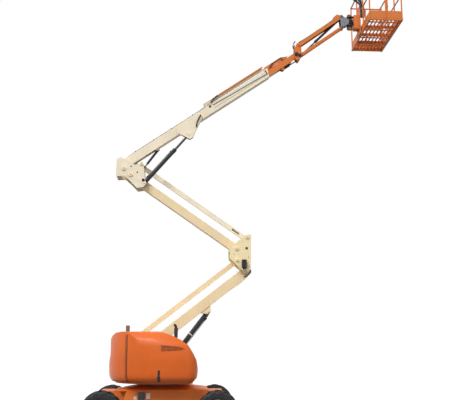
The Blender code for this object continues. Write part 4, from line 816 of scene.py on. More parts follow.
def softened(node: str, width: float) -> None:
    """Replace a CAD node by a merged copy of it with rounded edges.

    Args:
        node: The node's name.
        width: The width of the rounding, in metres.
    """
    shape = bmesh.new()
    shape.from_mesh(frame["nodes"][node].data)
    bmesh.ops.remove_doubles(shape, verts=shape.verts, dist=MERGE * 2)
    bmesh.ops.dissolve_limit(shape, angle_limit=0.002, verts=shape.verts, edges=shape.edges)
    crowned = node in CROWN.nodes
    if crowned:
        CROWN.shape(shape, node in CROWN.tail)
    elif node == "turret_frame":
        CROWN.rim(shape)
    name = node + "_dressed"
    item = stood(name, drawn(name, shape), CROWNED_ANGLE if crowned else EDGE_ANGLE)
    settle(item, finish_of(node), node)
    rounded(item, width, EDGE_ANGLE, False)
    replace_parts(item, node)


def hose(
    name: str, arm: Arm, route: Sequence[Point], radius: float, slot: str, coat: Coat = Coat.HOSE
) -> bpy.types.Object:
    """Add a hose or bent pipe along a smooth route.

    Args:
        name: The piece's name.
        arm: The member whose axes the route is in.
        route: The points that it passes through.
        radius: Its radius.
        slot: The node that carries it.
        coat: Its finish.

    Returns:
        The piece.
    """
    curve = bpy.data.curves.new(name, "CURVE")
    curve.dimensions = "3D"
    curve.resolution_u = 6
    curve.bevel_depth = radius
    curve.bevel_resolution = 3
    curve.use_fill_caps = True
    spline = curve.splines.new("NURBS")
    spline.points.add(len(route) - 1)
    for point, place in zip(spline.points, route):
        point.co = (*(arm.place @ Vector(place)), 1.0)
    spline.order_u = min(4, len(route))
    spline.use_endpoint_u = True
    line = bpy.data.objects.new(name + "_route", curve)
    bpy.context.scene.collection.objects.link(line)
    bpy.context.view_layer.update()
    mesh = bpy.data.meshes.new_from_object(line.evaluated_get(bpy.context.evaluated_depsgraph_get()))
    bpy.data.objects.remove(line, do_unlink=True)
    return settle(stood(name, mesh, HOSE_ANGLE), coat, slot)


def hoses(name: str, arm: Arm, line: Sequence[Point], rows: Sequence[float], radius: float, slot: str) -> None:
    """Run hoses side by side.

    Args:
        name: What the pieces are called, before their number.
        arm: The member whose axes the line is in.
        line: The points that they pass through, as (along, up).
        rows: How far across each hose lies.
        radius: Their radius.
        slot: The node that carries them.
    """
    for index, across in enumerate(rows):
        hose(f"{name}_{index}", arm, [(along, across, up) for along, up in line], radius, slot)


def spokes(count: int, shift: float = 0.0) -> list[Vector]:
    """Return evenly spread directions in the XZ plane, turned by a share of their spacing."""
    angles = (2 * math.pi * (index + shift) / count for index in range(count))
    return [Vector((math.cos(angle), 0.0, math.sin(angle))) for angle in angles]


# Sub-assemblies


@dataclass
class Wheel:
    """One wheel's studs, hub ring, hand holes painted as dark discs of shade, valve and sidewall ribs."""

    corner: str
    side: int
    track: float = 1.98
    stud_count: int = 9
    stud_circle: float = 0.074
    hub_face: float = 0.101
    cap_face: float = 0.117
    hole_circle: float = 0.140
    hole_face: float = 0.0835
    sidewall: float = 0.1548

    def build(self) -> None:
        """Make the wheel's fittings."""
        centre = joint_point("wheel_spin_" + self.corner)
        centre.y = self.side * self.track / 2
        out = Vector((0.0, float(self.side), 0.0))
        rim = "rim_" + self.corner
        studs = Work()
        for spoke in spokes(self.stud_count):
            studs.bolt(centre + out * self.hub_face + spoke * self.stud_circle, out, 0.0105, 0.0135)
        studs.bolt(centre + out * self.cap_face, out, 0.013)
        studs.done("studs_" + self.corner, Coat.BOLT, rim)
        # Painted shade: dark discs for the shade inside the rim's hand holes.
        holes = Work()
        for spoke in spokes(self.stud_count, 0.5):
            seat = centre + spoke * self.hole_circle + out * self.hole_face
            tilt = (out * 0.95 + spoke * 0.31).normalized()
            holes.rod(seat - tilt * 0.004, seat + tilt * 0.0016, 0.017)
        holes.done("hand_hole_shade_" + self.corner, Coat.PANEL, rim)
        trim = Work()
        trim.turned([(0.050, 0.100), (0.062, 0.100), (0.060, 0.108), (0.050, 0.110)], centre, out, 28)
        trim.turned([(0.224, 0.126), (0.234, 0.126), (0.236, 0.132), (0.226, 0.134)], centre, out, 40)
        trim.done("rim_rings_" + self.corner, Coat.RIM_WHITE, rim)
        ribs = Work()
        low, high = self.sidewall - 0.002, self.sidewall + 0.003
        for radius, width in ((0.326, 0.010), (0.300, 0.004), (0.352, 0.005)):
            profile = [(radius, low), (radius + width, low), (radius + width * 0.8, high), (radius + width * 0.2, high)]
            ribs.turned(profile, centre, out, 56)
        stem = centre + Vector((0.150, 0.0, 0.085)) + out * 0.075
        ribs.rod(stem, stem + out * 0.045, 0.006, 10)
        ribs.done("sidewall_ribs_" + self.corner, Coat.TYRE, "tyre_" + self.corner)


@dataclass
class Hood:
    """The fittings of one hood: seam and hand-hold painted as shade, latch and hinges, and the far one's louvres with
    painted shade between the blades.
    """

    name: str
    side: int
    half_width: float = 1.09
    tail_radius: float = 1.16
    seam_x: float = -0.745
    top: float = 2.03
    low: float = 0.998
    inner_y: float = 0.365
    latch_x: float = -0.035
    hinge_x: tuple[float, ...] = (-0.55, -0.10)
    louvre_count: int = 9
    louvre_low: float = 1.30
    louvre_step: float = 0.036

    def down(self, x: float, proud: float) -> list[Point]:
        """Return the line that a cut across the hood follows, from the foot over to the inner edge.

        Args:
            x: Where the cut is, along the machine.
            proud: How far the line stands off the hood.

        Returns:
            The line's points.
        """
        reach = math.sqrt(self.tail_radius**2 - x**2) + proud
        ends = (
            (reach, self.low + 0.003), (reach, self.top - 0.085), (reach - 0.008, self.top - 0.052),
            (reach - 0.035, self.top - 0.022 + proud), (reach - 0.085, self.top + proud),
            (self.inner_y + 0.035, self.top + proud),
        )
        return [(x, self.side * across, up) for across, up in ends]

    def seam(self) -> None:
        """Lay two dark bands over the joint between the hood's two mouldings, painted as the shade in its gap: a shaded
        orange band and a near-black one for the deepest shade.
        """
        for label, start, width, proud, coat in (
            ("seam_painted_shade_", -0.004, 0.034, 0.0016, Coat.HOLLOW),
            ("seam_painted_deep_shade_", 0.030, 0.014, 0.0022, Coat.SEAL),
        ):
            edge = self.seam_x + start
            work = Work(TURN).band(self.down(edge, proud), self.down(edge + width, proud), 0.012)
            work.crown().done(label + self.name, coat, "hood_" + self.name)

    def hand_hold(self) -> None:
        """Make the hand-hold near the top of the side panel as a dark plate painted as the shade inside it, and its
        lip.
        """
        face = self.side * (self.half_width + 0.0006)
        # Painted shade: the dark plate stands for the shade inside the hand-hold.
        shade_outline = [(0.005, 1.748), (0.300, 1.722), (0.415, 1.700), (0.470, 1.682), (0.405, 1.660), (0.180, 1.646),
                  (0.005, 1.640)]
        lip = [(-0.005, 1.756), (0.300, 1.731), (0.420, 1.709), (0.478, 1.688), (0.470, 1.680), (0.415, 1.699),
               (0.300, 1.720), (0.004, 1.745)]
        slot = "hood_" + self.name
        Work(TURN).plate(shade_outline, face, -self.side * 0.010).done("hand_hold_" + self.name, Coat.HOLLOW, slot)
        Work(TURN).plate(lip, face, self.side * 0.008).done(
            "hand_hold_lip_" + self.name, Coat.HOOD_ORANGE, slot, 0.003)

    def latch(self) -> None:
        """Make the tall latch over the hood's lower edge, wider in its lower half."""
        work = Work(TURN)
        face = self.side * (self.half_width + 0.002)
        for half, depth, low, high in ((0.022, -0.020, 1.010, 1.245), (0.031, 0.010, 1.015, 1.125)):
            work.block((self.latch_x - half, face, low), (self.latch_x + half, face + self.side * depth, high))
        for height, depth, radius in ((1.215, 0.020, 0.016), (1.045, 0.016, 0.014)):
            work.rod((self.latch_x, face, height), (self.latch_x, face + self.side * depth, height), radius, 18)
        work.crown().done("latch_" + self.name, Coat.BLACK_PAINT, "hood_" + self.name, 0.003)

    def hinges(self) -> None:
        """Make the hinge leaves along the hood's inner top edge."""
        work = Work(TURN)
        y = self.side * (self.inner_y + 0.045)
        for x in self.hinge_x:
            work.block((x - 0.07, y, self.top - 0.001), (x + 0.07, y - self.side * 0.03, self.top + 0.004))
            for shift in (-0.045, 0.0, 0.045):
                work.bolt((x + shift, y - self.side * 0.012, self.top + 0.004), (0, 0, 1), 0.007)
        work.done("hinge_leaves_" + self.name, Coat.BLACK_PAINT, "hood_" + self.name, 0.001)

    def louvres(self) -> None:
        """Make the cooling louvres of the hood's side, with dark blocks behind the blades painted as the shade between
        them.
        """
        blades, gap_shade = Work(TURN), Work(TURN)
        inner, outer = self.half_width - 0.001, self.half_width + 0.012
        for row in range(self.louvre_count):
            z = self.louvre_low + row * self.louvre_step
            section = ((inner, z), (outer, z - 0.010), (outer, z - 0.013), (inner, z - 0.022))
            blades.sheet([(-0.30, across, up) for across, up in section], (0.46, 0.0, 0.0))
            gap_shade.block((-0.295, self.half_width - 0.002, z - 0.034), (0.155, self.half_width + 0.0006, z - 0.023))
        blades.crown().done("louvres", Coat.HOOD_ORANGE, "hood_far", 0.002)
        gap_shade.crown().done("louvre_gap_shade", Coat.HOLLOW, "hood_far")

    def build(self) -> None:
        """Make the hood's fittings."""
        self.seam()
        self.hand_hold()
        self.latch()
        self.hinges()
        if self.side > 0:
            self.louvres()


@dataclass
class Uprights:
    """Pin caps of both uprights, and what hangs on the near plates."""

    pin_face: float = 0.233
    plate_face: float = -0.2158

    def pins(self, name: str, arm: Arm, slot: str, pins: Sequence[Point]) -> None:
        """Cap several pins of one upright.

        Args:
            name: The caps' name.
            arm: The upright's axes.
            slot: The upright's node.
            pins: Each pin as (along, up, radius).
        """
        caps, heads = Work(arm), Work(arm)
        for along, up, radius in pins:
            for side in BOTH:
                foot, cap, head = ((along, side * (self.pin_face + depth), up) for depth in (-0.017, 0.002, 0.004))
                caps.rod(foot, cap, radius * 1.15, 28)
                heads.rod((along, side * (self.pin_face + 0.001), up), head, radius * 0.42)
                heads.bolt(head, (0, side, 0), radius * 0.26)
        caps.done(name, Coat.UPRIGHT_CREAM, slot, 0.001)
        heads.done(name + "_heads", Coat.BOLT, slot)

    def build(self) -> None:
        """Make the fittings of both uprights."""
        mid, upper = "mid_upright", "upper_upright"
        self.pins("mid_pins", MID_UPRIGHT, mid, [(0.0, 0.0, 0.04), (-0.243, 0.495, 0.04)])
        self.pins("mid_link_pins", MID_UPRIGHT, mid, [(-0.232, 0.233, 0.034), (-0.001, 0.752, 0.034)])
        self.pins("upper_pins", UPPER_UPRIGHT, upper, [(0.0, 0.0, 0.04), (-0.159, 0.14, 0.04)])
        self.pins("upper_link_pins", UPPER_UPRIGHT, upper, [(0.242, 0.257, 0.034)])
        face = self.plate_face
        # Painted shade: a dark disc for the shade inside a hole in the near plate.
        hole = Work(MID_UPRIGHT).rod((-0.016, face + 0.004, 0.499), (-0.016, face - 0.001, 0.499), 0.030, 22)
        hole.done("mid_plate_hole_shade", Coat.PANEL, mid)
        bolts = Work(MID_UPRIGHT)
        for along, up in ((-0.242, -0.030), (-0.300, 0.360), (0.030, 0.300)):
            bolts.bolt((along, face, up), (0, -1, 0), 0.008, 0.011)
        bolts.done("mid_plate_bolts", Coat.BOLT, mid)
        # Painted shade: dark discs for the shade inside the holes in the upper upright's near plate.
        holes = Work(UPPER_UPRIGHT)
        for along, up in ((0.008, 0.192), (0.150, 0.051)):
            holes.rod((along, face + 0.004, up), (along, face - 0.002, up), 0.017, 18)
        holes.done("upper_plate_hole_shade", Coat.PANEL, upper)
        tank = Work(MID_UPRIGHT).block((-0.120, face - 0.004, 0.055), (-0.030, face + 0.002, 0.225))
        for low, high, radius, sides in (
            (0.048, 0.190, 0.058, 28), (0.196, 0.232, 0.058, 28), (0.190, 0.196, 0.052, 28), (0.030, 0.048, 0.042, 24),
        ):
            tank.rod((-0.075, face - 0.062, low), (-0.075, face - 0.062, high), radius, sides)
        tank.done("upright_reservoir", Coat.BLACK_PAINT, mid, 0.003)
        bend = ((0.066, 0.010), (0.064, -0.045), (0.025, -0.098), (-0.030, -0.130), (-0.080, -0.148))
        hoses("elbow_hose", MID_UPRIGHT, bend, (face - 0.018, face - 0.050), 0.017, mid)
        # Painted shade: a dark olive plate for the shade between the boom and the upper upright, just under the boom.
        shade_plate = [(0.029, 0.241), (0.150, 0.298), (0.150, 0.235), (0.125, 0.200), (0.050, 0.190)]
        Work(UPPER_UPRIGHT).plate(shade_plate, -0.165, 0.020).done("upright_shade_plate", Coat.OLIVE, upper, 0.002)
        cap = Work(UPPER_UPRIGHT).caps([(0.290, -0.130, 0.034, 0.014)], -face - 0.004, 0.012 - face, 26, (-1,))
        cap.done("cylinder_foot_cap", Coat.BLACK_PAINT, upper, 0.002)


@dataclass
class Cylinders:
    """Glands, ports and pressure pipes of the hydraulic cylinders."""

    clamp_along: float = 0.62

    def axes(self, name: str) -> tuple[Arm, float]:
        """Return a cylinder's axes, drawn from the machine's centre plane, and how far across it lies."""
        pivot = joint_point(name + "_cylinder_pivot")
        return Arm(Vector((pivot.x, 0.0, pivot.z)), line_angle(name + "_rod_slide")), pivot.y

    def gland(self, name: str, length: float, radius: float) -> None:
        """Put a ribbed gland, two port blocks and a pressure pipe on one barrel.

        Args:
            name: The cylinder's name.
            length: The barrel's length.
            radius: The barrel's radius.
        """
        arm, across = self.axes(name)
        work = Work(arm)
        for back in (0.030, 0.050, 0.070):
            work.ring((radius + 0.003, radius + 0.007), (-back, -back + 0.006), (length, across, 0.0), (1, 0, 0), 26)
        work.block((0.13, across - 0.014, radius - 0.006), (0.18, across + 0.014, radius + 0.020))
        work.rod((0.18, across, radius + 0.009), (0.215, across, radius + 0.009), 0.009, 12)
        work.block((length - 0.13, across - 0.013, radius - 0.005), (length - 0.09, across + 0.013, radius + 0.018))
        work.rod((0.205, across, radius + 0.010), (length - 0.12, across, radius + 0.010), 0.0055, 10)
        work.done(name + "_gland", Coat.BLACK_PAINT, name + "_cylinder_barrel", 0.001)

    def build(self) -> None:
        """Dress the two large lift cylinders and the jib's."""
        self.gland("riser", 1.20, 0.055)
        clamp = Work(self.axes("riser")[0])
        clamp.ring((0.0575, 0.0605), (0.0, 0.022), (self.clamp_along, 0.0, 0.0), (1, 0, 0), 30)
        clamp.done("riser_barrel_clamp", Coat.PALE_GREY, "riser_cylinder_barrel")
        self.gland("boom", 1.07, 0.044)
        jib = Work(self.axes("jib")[0]).ring((0.032, 0.037), (-0.04, -0.025), (0.93, 0, 0), (1, 0, 0), 22)
        jib.rod((0.12, 0.0, -0.027), (0.12, 0.0, -0.046), 0.010, 12)
        jib.done("jib_gland", Coat.BLACK_PAINT, "jib_cylinder_barrel", 0.001)


@dataclass
class Boom:
    """Fittings of the telescopic boom: tray covers, hoses, wear-pad bolts and clamp plates."""

    half_width: float = 0.095
    high: float = 0.210
    clamp_along: tuple[float, ...] = (0.45, 0.95, 1.45, 2.05)
    tray_along: tuple[float, float] = (2.45, 4.00)
    cover_along: tuple[float, float] = (2.574, 4.095)

    def hoses(self) -> None:
        """Clamp the hoses along the boom's back."""
        top = self.high
        clamps = Work(BOOM)
        for along in self.clamp_along:
            clamps.block((along - 0.016, -0.052, top - 0.001), (along + 0.016, 0.010, top + 0.006))
            clamps.block((along - 0.012, -0.050, top + 0.005), (along + 0.012, 0.008, top + 0.034))
        clamps.done("hose_clamps", Coat.BLACK_PAINT, "base_boom", 0.002)
        line = [(0.22, 0.010), *((along, 0.018) for along in self.clamp_along), (2.34, 0.020), (2.43, 0.030)]
        line = [(along, top + rise) for along, rise in line]
        hoses("boom_hose", BOOM, line, (-0.038, -0.021, -0.004), 0.0075, "base_boom")

    def side(self) -> None:
        """Make what is fixed to the near side of the boom and its tray."""
        near = -self.half_width - 0.0004
        start, end = self.cover_along
        for name, coat, first, last, proud in (
            ("side_cover", Coat.PALE_GREY, (0.168, 0.208), (0.104, 0.152), 0.004),
            ("side_edge", Coat.OLIVE, (0.150, 0.166), (0.086, 0.102), 0.007),
            ("side_bead", Coat.OLIVE, (0.080, 0.085), (0.072, 0.077), 0.003),
        ):
            outline = [(start, first[0]), (end, last[0]), (end, last[1]), (start, first[1])]
            Work(BOOM).plate(outline, near, -proud).done(name, coat, "base_boom", 0.001)
        first, last = self.tray_along
        for name, coat, slot, bevel, blocks in (
            ("tray_line", Coat.OLIVE, "cable_tray", 0.0, [((first, -0.0905, 0.226), (last, -0.085, 0.232))]),
            ("tray_rail", Coat.ARM_ORANGE, "cable_tray", 0.002, [((2.72, -0.106, 0.272), (end, -0.0885, 0.304))]),
            ("tray_stop", Coat.PALE_PLATE, "base_boom", 0.002, [((2.53, -0.112, 0.212), (2.57, near, 0.248))]),
            ("tray_brackets", Coat.BLACK_PAINT, "base_boom", 0.002, [
                ((2.475, -0.106, 0.145), (2.520, near, 0.195)), ((4.090, -0.106, 0.080), (4.110, near, 0.190))]),
        ):
            work = Work(BOOM)
            for low, high in blocks:
                work.block(low, high)
            work.done(name, coat, slot, bevel)
        for name, across, radius, line in (
            ("tray_hose", -0.104, 0.015, ((2.80, 0.292), (2.73, 0.291), (2.66, 0.275), (2.59, 0.250), (2.55, 0.232))),
            ("clevis_hose", -0.205, 0.014,
             ((2.183, 0.090), (2.100, 0.050), (2.010, -0.005), (1.955, -0.055), (1.932, -0.105))),
        ):
            hose(name, BOOM, [(along, across, up) for along, up in line], radius, "base_boom")

    def fly(self) -> None:
        """Make the saddle, the painted shade along the fly boom's upper strip, and the eye of its nose, a dark disc
        painted as the shade in a hole.
        """
        saddle = [(4.125, 0.160), (4.125, 0.262), (4.610, 0.262), (4.665, 0.235), (4.790, 0.180)]
        Work(BOOM).plate(saddle, -0.0695, -0.007).done("fly_saddle", Coat.ARM_ORANGE, "fly_boom", 0.002)
        # Painted shade: a near-black sheet for the shade along the fly boom's upper strip.
        rail_shade = [(4.180, 0.172), (4.270, 0.166), (4.400, 0.225), (4.560, 0.222), (4.690, 0.214), (4.655, 0.236),
                  (4.600, 0.256), (4.340, 0.256)]
        Work(BOOM).plate(rail_shade, -0.0768, -0.001).done("fly_rail_shade", Coat.SEAL, "fly_boom")
        # Painted shade: a black disc for the shade inside the hole in the fly boom's nose.
        eye = Work(BOOM).rod((4.600, -0.070, 0.190), (4.600, -0.079, 0.190), 0.026, 24)
        eye.done("fly_eye_shade", Coat.PANEL, "fly_boom", 0.001)

    def build(self) -> None:
        """Make the boom's fittings."""
        work = Work(BOOM)
        for along in (3.99, 4.05):
            for up in (0.05, 0.10, 0.15):
                for side in BOTH:
                    work.bolt((along, side * self.half_width, up), (0, side, 0), 0.009, 0.012)
        work.done("boom_bolts", Coat.BOLT, "base_boom")
        self.hoses()
        self.side()
        self.fly()
        first, last = self.tray_along
        lid = Work(BOOM).block((first, -0.088, self.high + 0.091), (last, -0.012, self.high + 0.096))
        for along in (2.62, 2.90, 3.40, 3.66, 3.92):
            lid.bolt((along, -0.050, self.high + 0.096), (0, 0, 1), 0.007)
        lid.done("tray_lid", Coat.GALVANISED, "cable_tray", 0.002)
        pad = Work(BOOM).block((4.098, -0.083, 0.168), (4.150, 0.083, 0.190))
        pad.done("mouth_pad", Coat.PANEL, "base_boom", 0.002)


@dataclass
class Jib:
    """Fittings of the fly's nose, the jib and its head: hose loops, end blocks and bolts."""

    upper_pin: tuple[float, float] = (0.0, 0.0)
    lower_pin: tuple[float, float] = (0.020, -0.260)
    rotator_along: float = 0.215

    def hoses(self) -> None:
        """Run three hoses over the nose, up the bracket and along the upper arm, with their clamps."""
        nose = ((4.60, 0.175), (4.69, 0.205), (4.77, 0.205))
        bracket = ((-0.046, 0.170), (-0.068, 0.215), (-0.070, 0.275), (-0.045, 0.335), (-0.012, 0.360))
        arm = ((0.065, 0.076), (0.16, 0.064), (0.40, 0.060), (0.70, 0.060), (1.00, 0.060), (1.10, 0.062), (1.14, 0.075))
        rows = (-0.030, 0.0, 0.030)
        hoses("nose_hose", BOOM, nose, rows, 0.0085, "fly_boom")
        hoses("bracket_hose", JIB_BRACKET, bracket, rows, 0.0085, "jib_bracket")
        hoses("jib_hose", JIB_UPPER, arm, rows, 0.008, "jib_upper_arm")
        clamp = Work(JIB_UPPER)
        for along in (0.25, 0.62, 1.02):
            clamp.block((along - 0.012, -0.044, 0.049), (along + 0.012, 0.044, 0.072))
        clamp.done("jib_clamps", Coat.BLACK_PAINT, "jib_upper_arm", 0.002)

    def head(self) -> None:
        """Make the head's round plates, its rotator and the hoses over it."""
        pins = (self.upper_pin, self.lower_pin)
        cheek = [(-0.038, -0.010), (-0.019, -0.252), (0.045, -0.288), (0.085, -0.224), (0.150, -0.200),
                 (0.150, -0.050), (0.085, -0.025), (0.020, 0.030)]
        plates = Work(JIB_HEAD)
        for side in BOTH:
            face, depth = side * 0.079, side * 0.013
            for (along, up), radius in ((pins[0], 0.040), (pins[1], 0.040), ((0.085, -0.125), 0.100)):
                plates.rod((along, face, up), (along, face + depth, up), radius, 40)
            plates.plate(cheek, face, depth * 0.96)
        plates.block((0.075, -0.080, -0.205), (0.170, 0.080, -0.060))
        plates.done("jib_head_plates", Coat.DISC, "jib_head", 0.002)
        turner = Work(JIB_HEAD)
        middle = self.rotator_along
        for low, high, radius, sides in (
            (-0.280, 0.020, 0.048, 28), (-0.225, -0.045, 0.075, 32), (-0.280, -0.255, 0.075, 32),
            (-0.005, 0.020, 0.075, 32),
        ):
            turner.rod((middle, 0, low), (middle, 0, high), radius, sides)
        for along, up in pins:
            turner.rod((along, -0.108, up), (along, 0.108, up), 0.022, 20)
        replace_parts(turner.done("jib_head_turner", Coat.BLACK_PAINT, "jib_head", 0.002), "jib_head")
        rings = Work(JIB_HEAD).ring((0.080, 0.087), (-0.175, -0.150), (middle, 0, 0), (0, 0, 1), 36)
        rings.ring((0.078, 0.090), (-0.120, -0.100), (middle, 0, 0), (0, 0, 1), 36)
        rings.done("rotator_rings", Coat.BLACK_PAINT, "jib_head", 0.002)
        line = ((0.150, 0.010), (0.158, 0.060), (0.190, 0.090), (0.235, 0.078), (0.258, 0.040))
        hoses("head_hose", JIB_HEAD, line, (-0.020, 0.012), 0.009, "jib_head")

    def build(self) -> None:
        """Make the jib's fittings."""
        block = [(1.13, 0.045), (1.16, 0.105), (1.27, 0.112), (1.33, 0.045)]
        Work(JIB_UPPER).plate(block, -0.066, 0.132).done("jib_end_block", Coat.ARM_ORANGE, "jib_upper_arm", 0.005)
        self.hoses()
        self.head()
        covers = Work(JIB_BRACKET).caps([(0.0, 0.0, 0.048, 0.012), (0.085, -0.022, 0.040, 0.012)], 0.096, 0.108, 24)
        covers.done("bracket_pin_covers", Coat.BLACK_PAINT, "jib_bracket", 0.001)
        caps = Work(JIB_BRACKET).caps([(0.065, 0.238, 0.030, 0.012)], 0.098, 0.106)
        caps.done("bracket_caps", Coat.ARM_ORANGE, "jib_bracket", 0.001)
        pins = [(*pin, 0.028, 0.012) for pin in (self.upper_pin, self.lower_pin)]
        Work(JIB_HEAD).caps(pins, 0.098, 0.106).done("head_caps", Coat.GREY_PAINT, "jib_head", 0.001)


@dataclass
class Basket:
    """Fittings of the basket: console controls, latch, bolts and the hoses of the console."""

    rear: float = 0.27
    front: float = 1.03
    floor: float = -0.383
    half_width: float = 0.915
    rail_height: float = 1.116
    console_slope: float = 25.6

    def controls(self) -> None:
        """Make the plates, levers, switches and knobs of the control console."""
        rail = self.floor + self.rail_height
        turn = Matrix.Rotation(math.radians(self.console_slope), 4, "Y")
        face = Matrix.Translation((self.rear + 0.075, 0.0, rail + 0.120)) @ turn
        plates = Work(BASKET, face)
        for across in (-0.24, -0.12, 0.0, 0.12, 0.24):
            plates.block((-0.09, across - 0.045, -0.002), (0.09, across + 0.045, 0.003))
        plates.done("console_plates", Coat.PALE_PLATE, "control_console", 0.001)
        knobs = Work(BASKET, face)
        for across in (-0.26, -0.22, -0.10, -0.06, 0.06, 0.10, 0.22, 0.26):
            knobs.rod((0.045, across, 0.0), (0.045, across, 0.018), 0.006, 12)
            knobs.rod((-0.03, across, 0.0), (-0.03, across, 0.010), 0.011, 16, 0.009)
        knobs.done("console_switches", Coat.HOSE, "control_console")
        stop = Work(BASKET, face).rod((0.0, 0.0, 0.0), (0.0, 0.0, 0.016), 0.012, 18)
        stop.rod((0.0, 0.0, 0.016), (0.0, 0.0, 0.034), 0.024, 24, 0.020)
        stop.done("stop_knob", Coat.RED_KNOB, "control_console", 0.003)
        grips = Work(BASKET)
        for across in (-0.18, 0.18):
            base = Vector((self.rear + 0.10, across, rail + 0.20))
            grips.rod(base, base + Vector((0.012, 0, 0.055)), 0.020, 18, 0.024)
            grips.rod(base - Vector((0.006, 0, 0.055)), base, 0.034, 18, 0.017)
        grips.done("lever_grips", Coat.HOSE, "control_console", 0.004)

    def plumbing(self) -> None:
        """Run the console's hoses down to the basket's support."""
        for index in range(6):
            across = -0.150 + 0.030 * (index % 3) - 0.006 * (index // 3)
            start = self.rear - 0.245 + 0.046 * index
            low = self.rear - 0.005 + 0.016 * index
            line = ((start + 0.04, 0.62), (start, 0.53), (start + 0.010, 0.44), (low - 0.03, 0.33), (low, 0.21),
                    (low, 0.07), (low - 0.01, -0.02))
            route = [(along, across, up) for along, up in line]
            hose(f"console_hose_{index}", BASKET, route, 0.0225, "platform_support")

    def build(self) -> None:
        """Make the basket's fittings: controls, hoses, the support's bolts and the gate's latch."""
        self.controls()
        self.plumbing()
        bolts = Work(BASKET)
        for across in (-0.105, 0.105):
            for up in (0.02, 0.17, 0.42, 0.60):
                bolts.bolt((self.rear - 0.040, across, self.floor + up), (-1, 0, 0), 0.012, 0.017)
        for side in BOTH:
            for along in (0.20, 0.38, 0.56):
                seat = (self.rear + along, side * (self.half_width + 0.0025), self.floor + 0.10)
                bolts.bolt(seat, (0, side, 0), 0.007)
        bolts.done("support_bolts", Coat.BOLT, "platform_support")
        latch = Work(BASKET).block((self.front - 0.012, 0.786, 0.20), (self.front + 0.020, 0.812, 0.29))
        latch.rod((self.front + 0.010, 0.740, 0.25), (self.front + 0.010, 0.806, 0.25), 0.007, 12)
        latch.done("gate_latch", Coat.BLACK_PAINT, "basket_frame", 0.002)


@dataclass
class Chassis:
    """Fittings of the chassis: steering ram, hoses, tow lugs, valve and bolts."""

    nose: float = 1.299
    ram_x: float = -1.06
    ram_z: float = 0.50
    side_face: float = -0.700
    bolt_count: int = 24
    bolt_circle: float = 0.372
    deck: float = 0.9965

    def build(self) -> None:
        """Make the chassis's fittings."""
        x, z = self.ram_x, self.ram_z
        ram = Work(TURN).rod((x, -0.34, z), (x, 0.20, z), 0.034, 22).rod((x, 0.19, z), (x, 0.22, z), 0.040, 22)
        ram.block((-1.12, -0.36, 0.47), (-1.04, -0.30, 0.53))
        ram.done("steer_ram", Coat.BLACK_PAINT, "steer_axle", 0.002)
        bolts = Work(TURN)
        for across in (-0.27, 0.27):
            for along in (-1.20, -1.16, 1.16, 1.20):
                for side in BOTH:
                    bolts.bolt((along, across + side * 0.03, 0.590), (0, 0, -1), 0.011, 0.016)
        for spoke in spokes(self.bolt_count, 0.5):
            bolts.bolt(spoke.xzy * self.bolt_circle + Vector((0, 0, self.deck)), (0, 0, 1), 0.011)
        bolts.done("chassis_bolts", Coat.BOLT, "chassis_frame")
        lugs = Work(TURN)
        for end in BOTH:
            for across in (-0.22, 0.22):
                lugs.ring((0.018, 0.038), (-0.010, 0.010), (end * self.nose, across, 0.655), (0, 1, 0), 22)
        lugs.done("tow_lugs", Coat.FRAME_ORANGE, "chassis_frame", 0.002)
        face = self.side_face
        valve = Work(TURN).block((-0.47, face, 0.655), (-0.33, -0.662, 0.790))
        for along, up, depth, radius, sides in (
            (-0.40, 0.735, 0.022, 0.026, 20), (-0.44, 0.68, 0.018, 0.010, 14), (-0.36, 0.68, 0.018, 0.010, 14),
        ):
            valve.rod((along, face, up), (along, face - depth, up), radius, sides)
        valve.done("chassis_valve", Coat.PANEL, "chassis_frame", 0.003)
        plates = Work(TURN).block((-0.30, -0.664, 0.66), (-0.22, -0.6595, 0.77))
        plates.block((-0.56, -0.664, 0.64), (-0.50, -0.6595, 0.70))
        plates.done("chassis_plates", Coat.PALE_PLATE, "chassis_frame", 0.001)
        for label, start, bend, end in (("a", -0.44, -0.46, -0.50), ("b", -0.36, -0.34, -0.30)):
            route = [(start, -0.716, 0.68), (start, -0.735, 0.62), (bend, -0.72, 0.54), (end, -0.69, 0.47)]
            hose("valve_hose_" + label, TURN, route, 0.010, "chassis_frame")


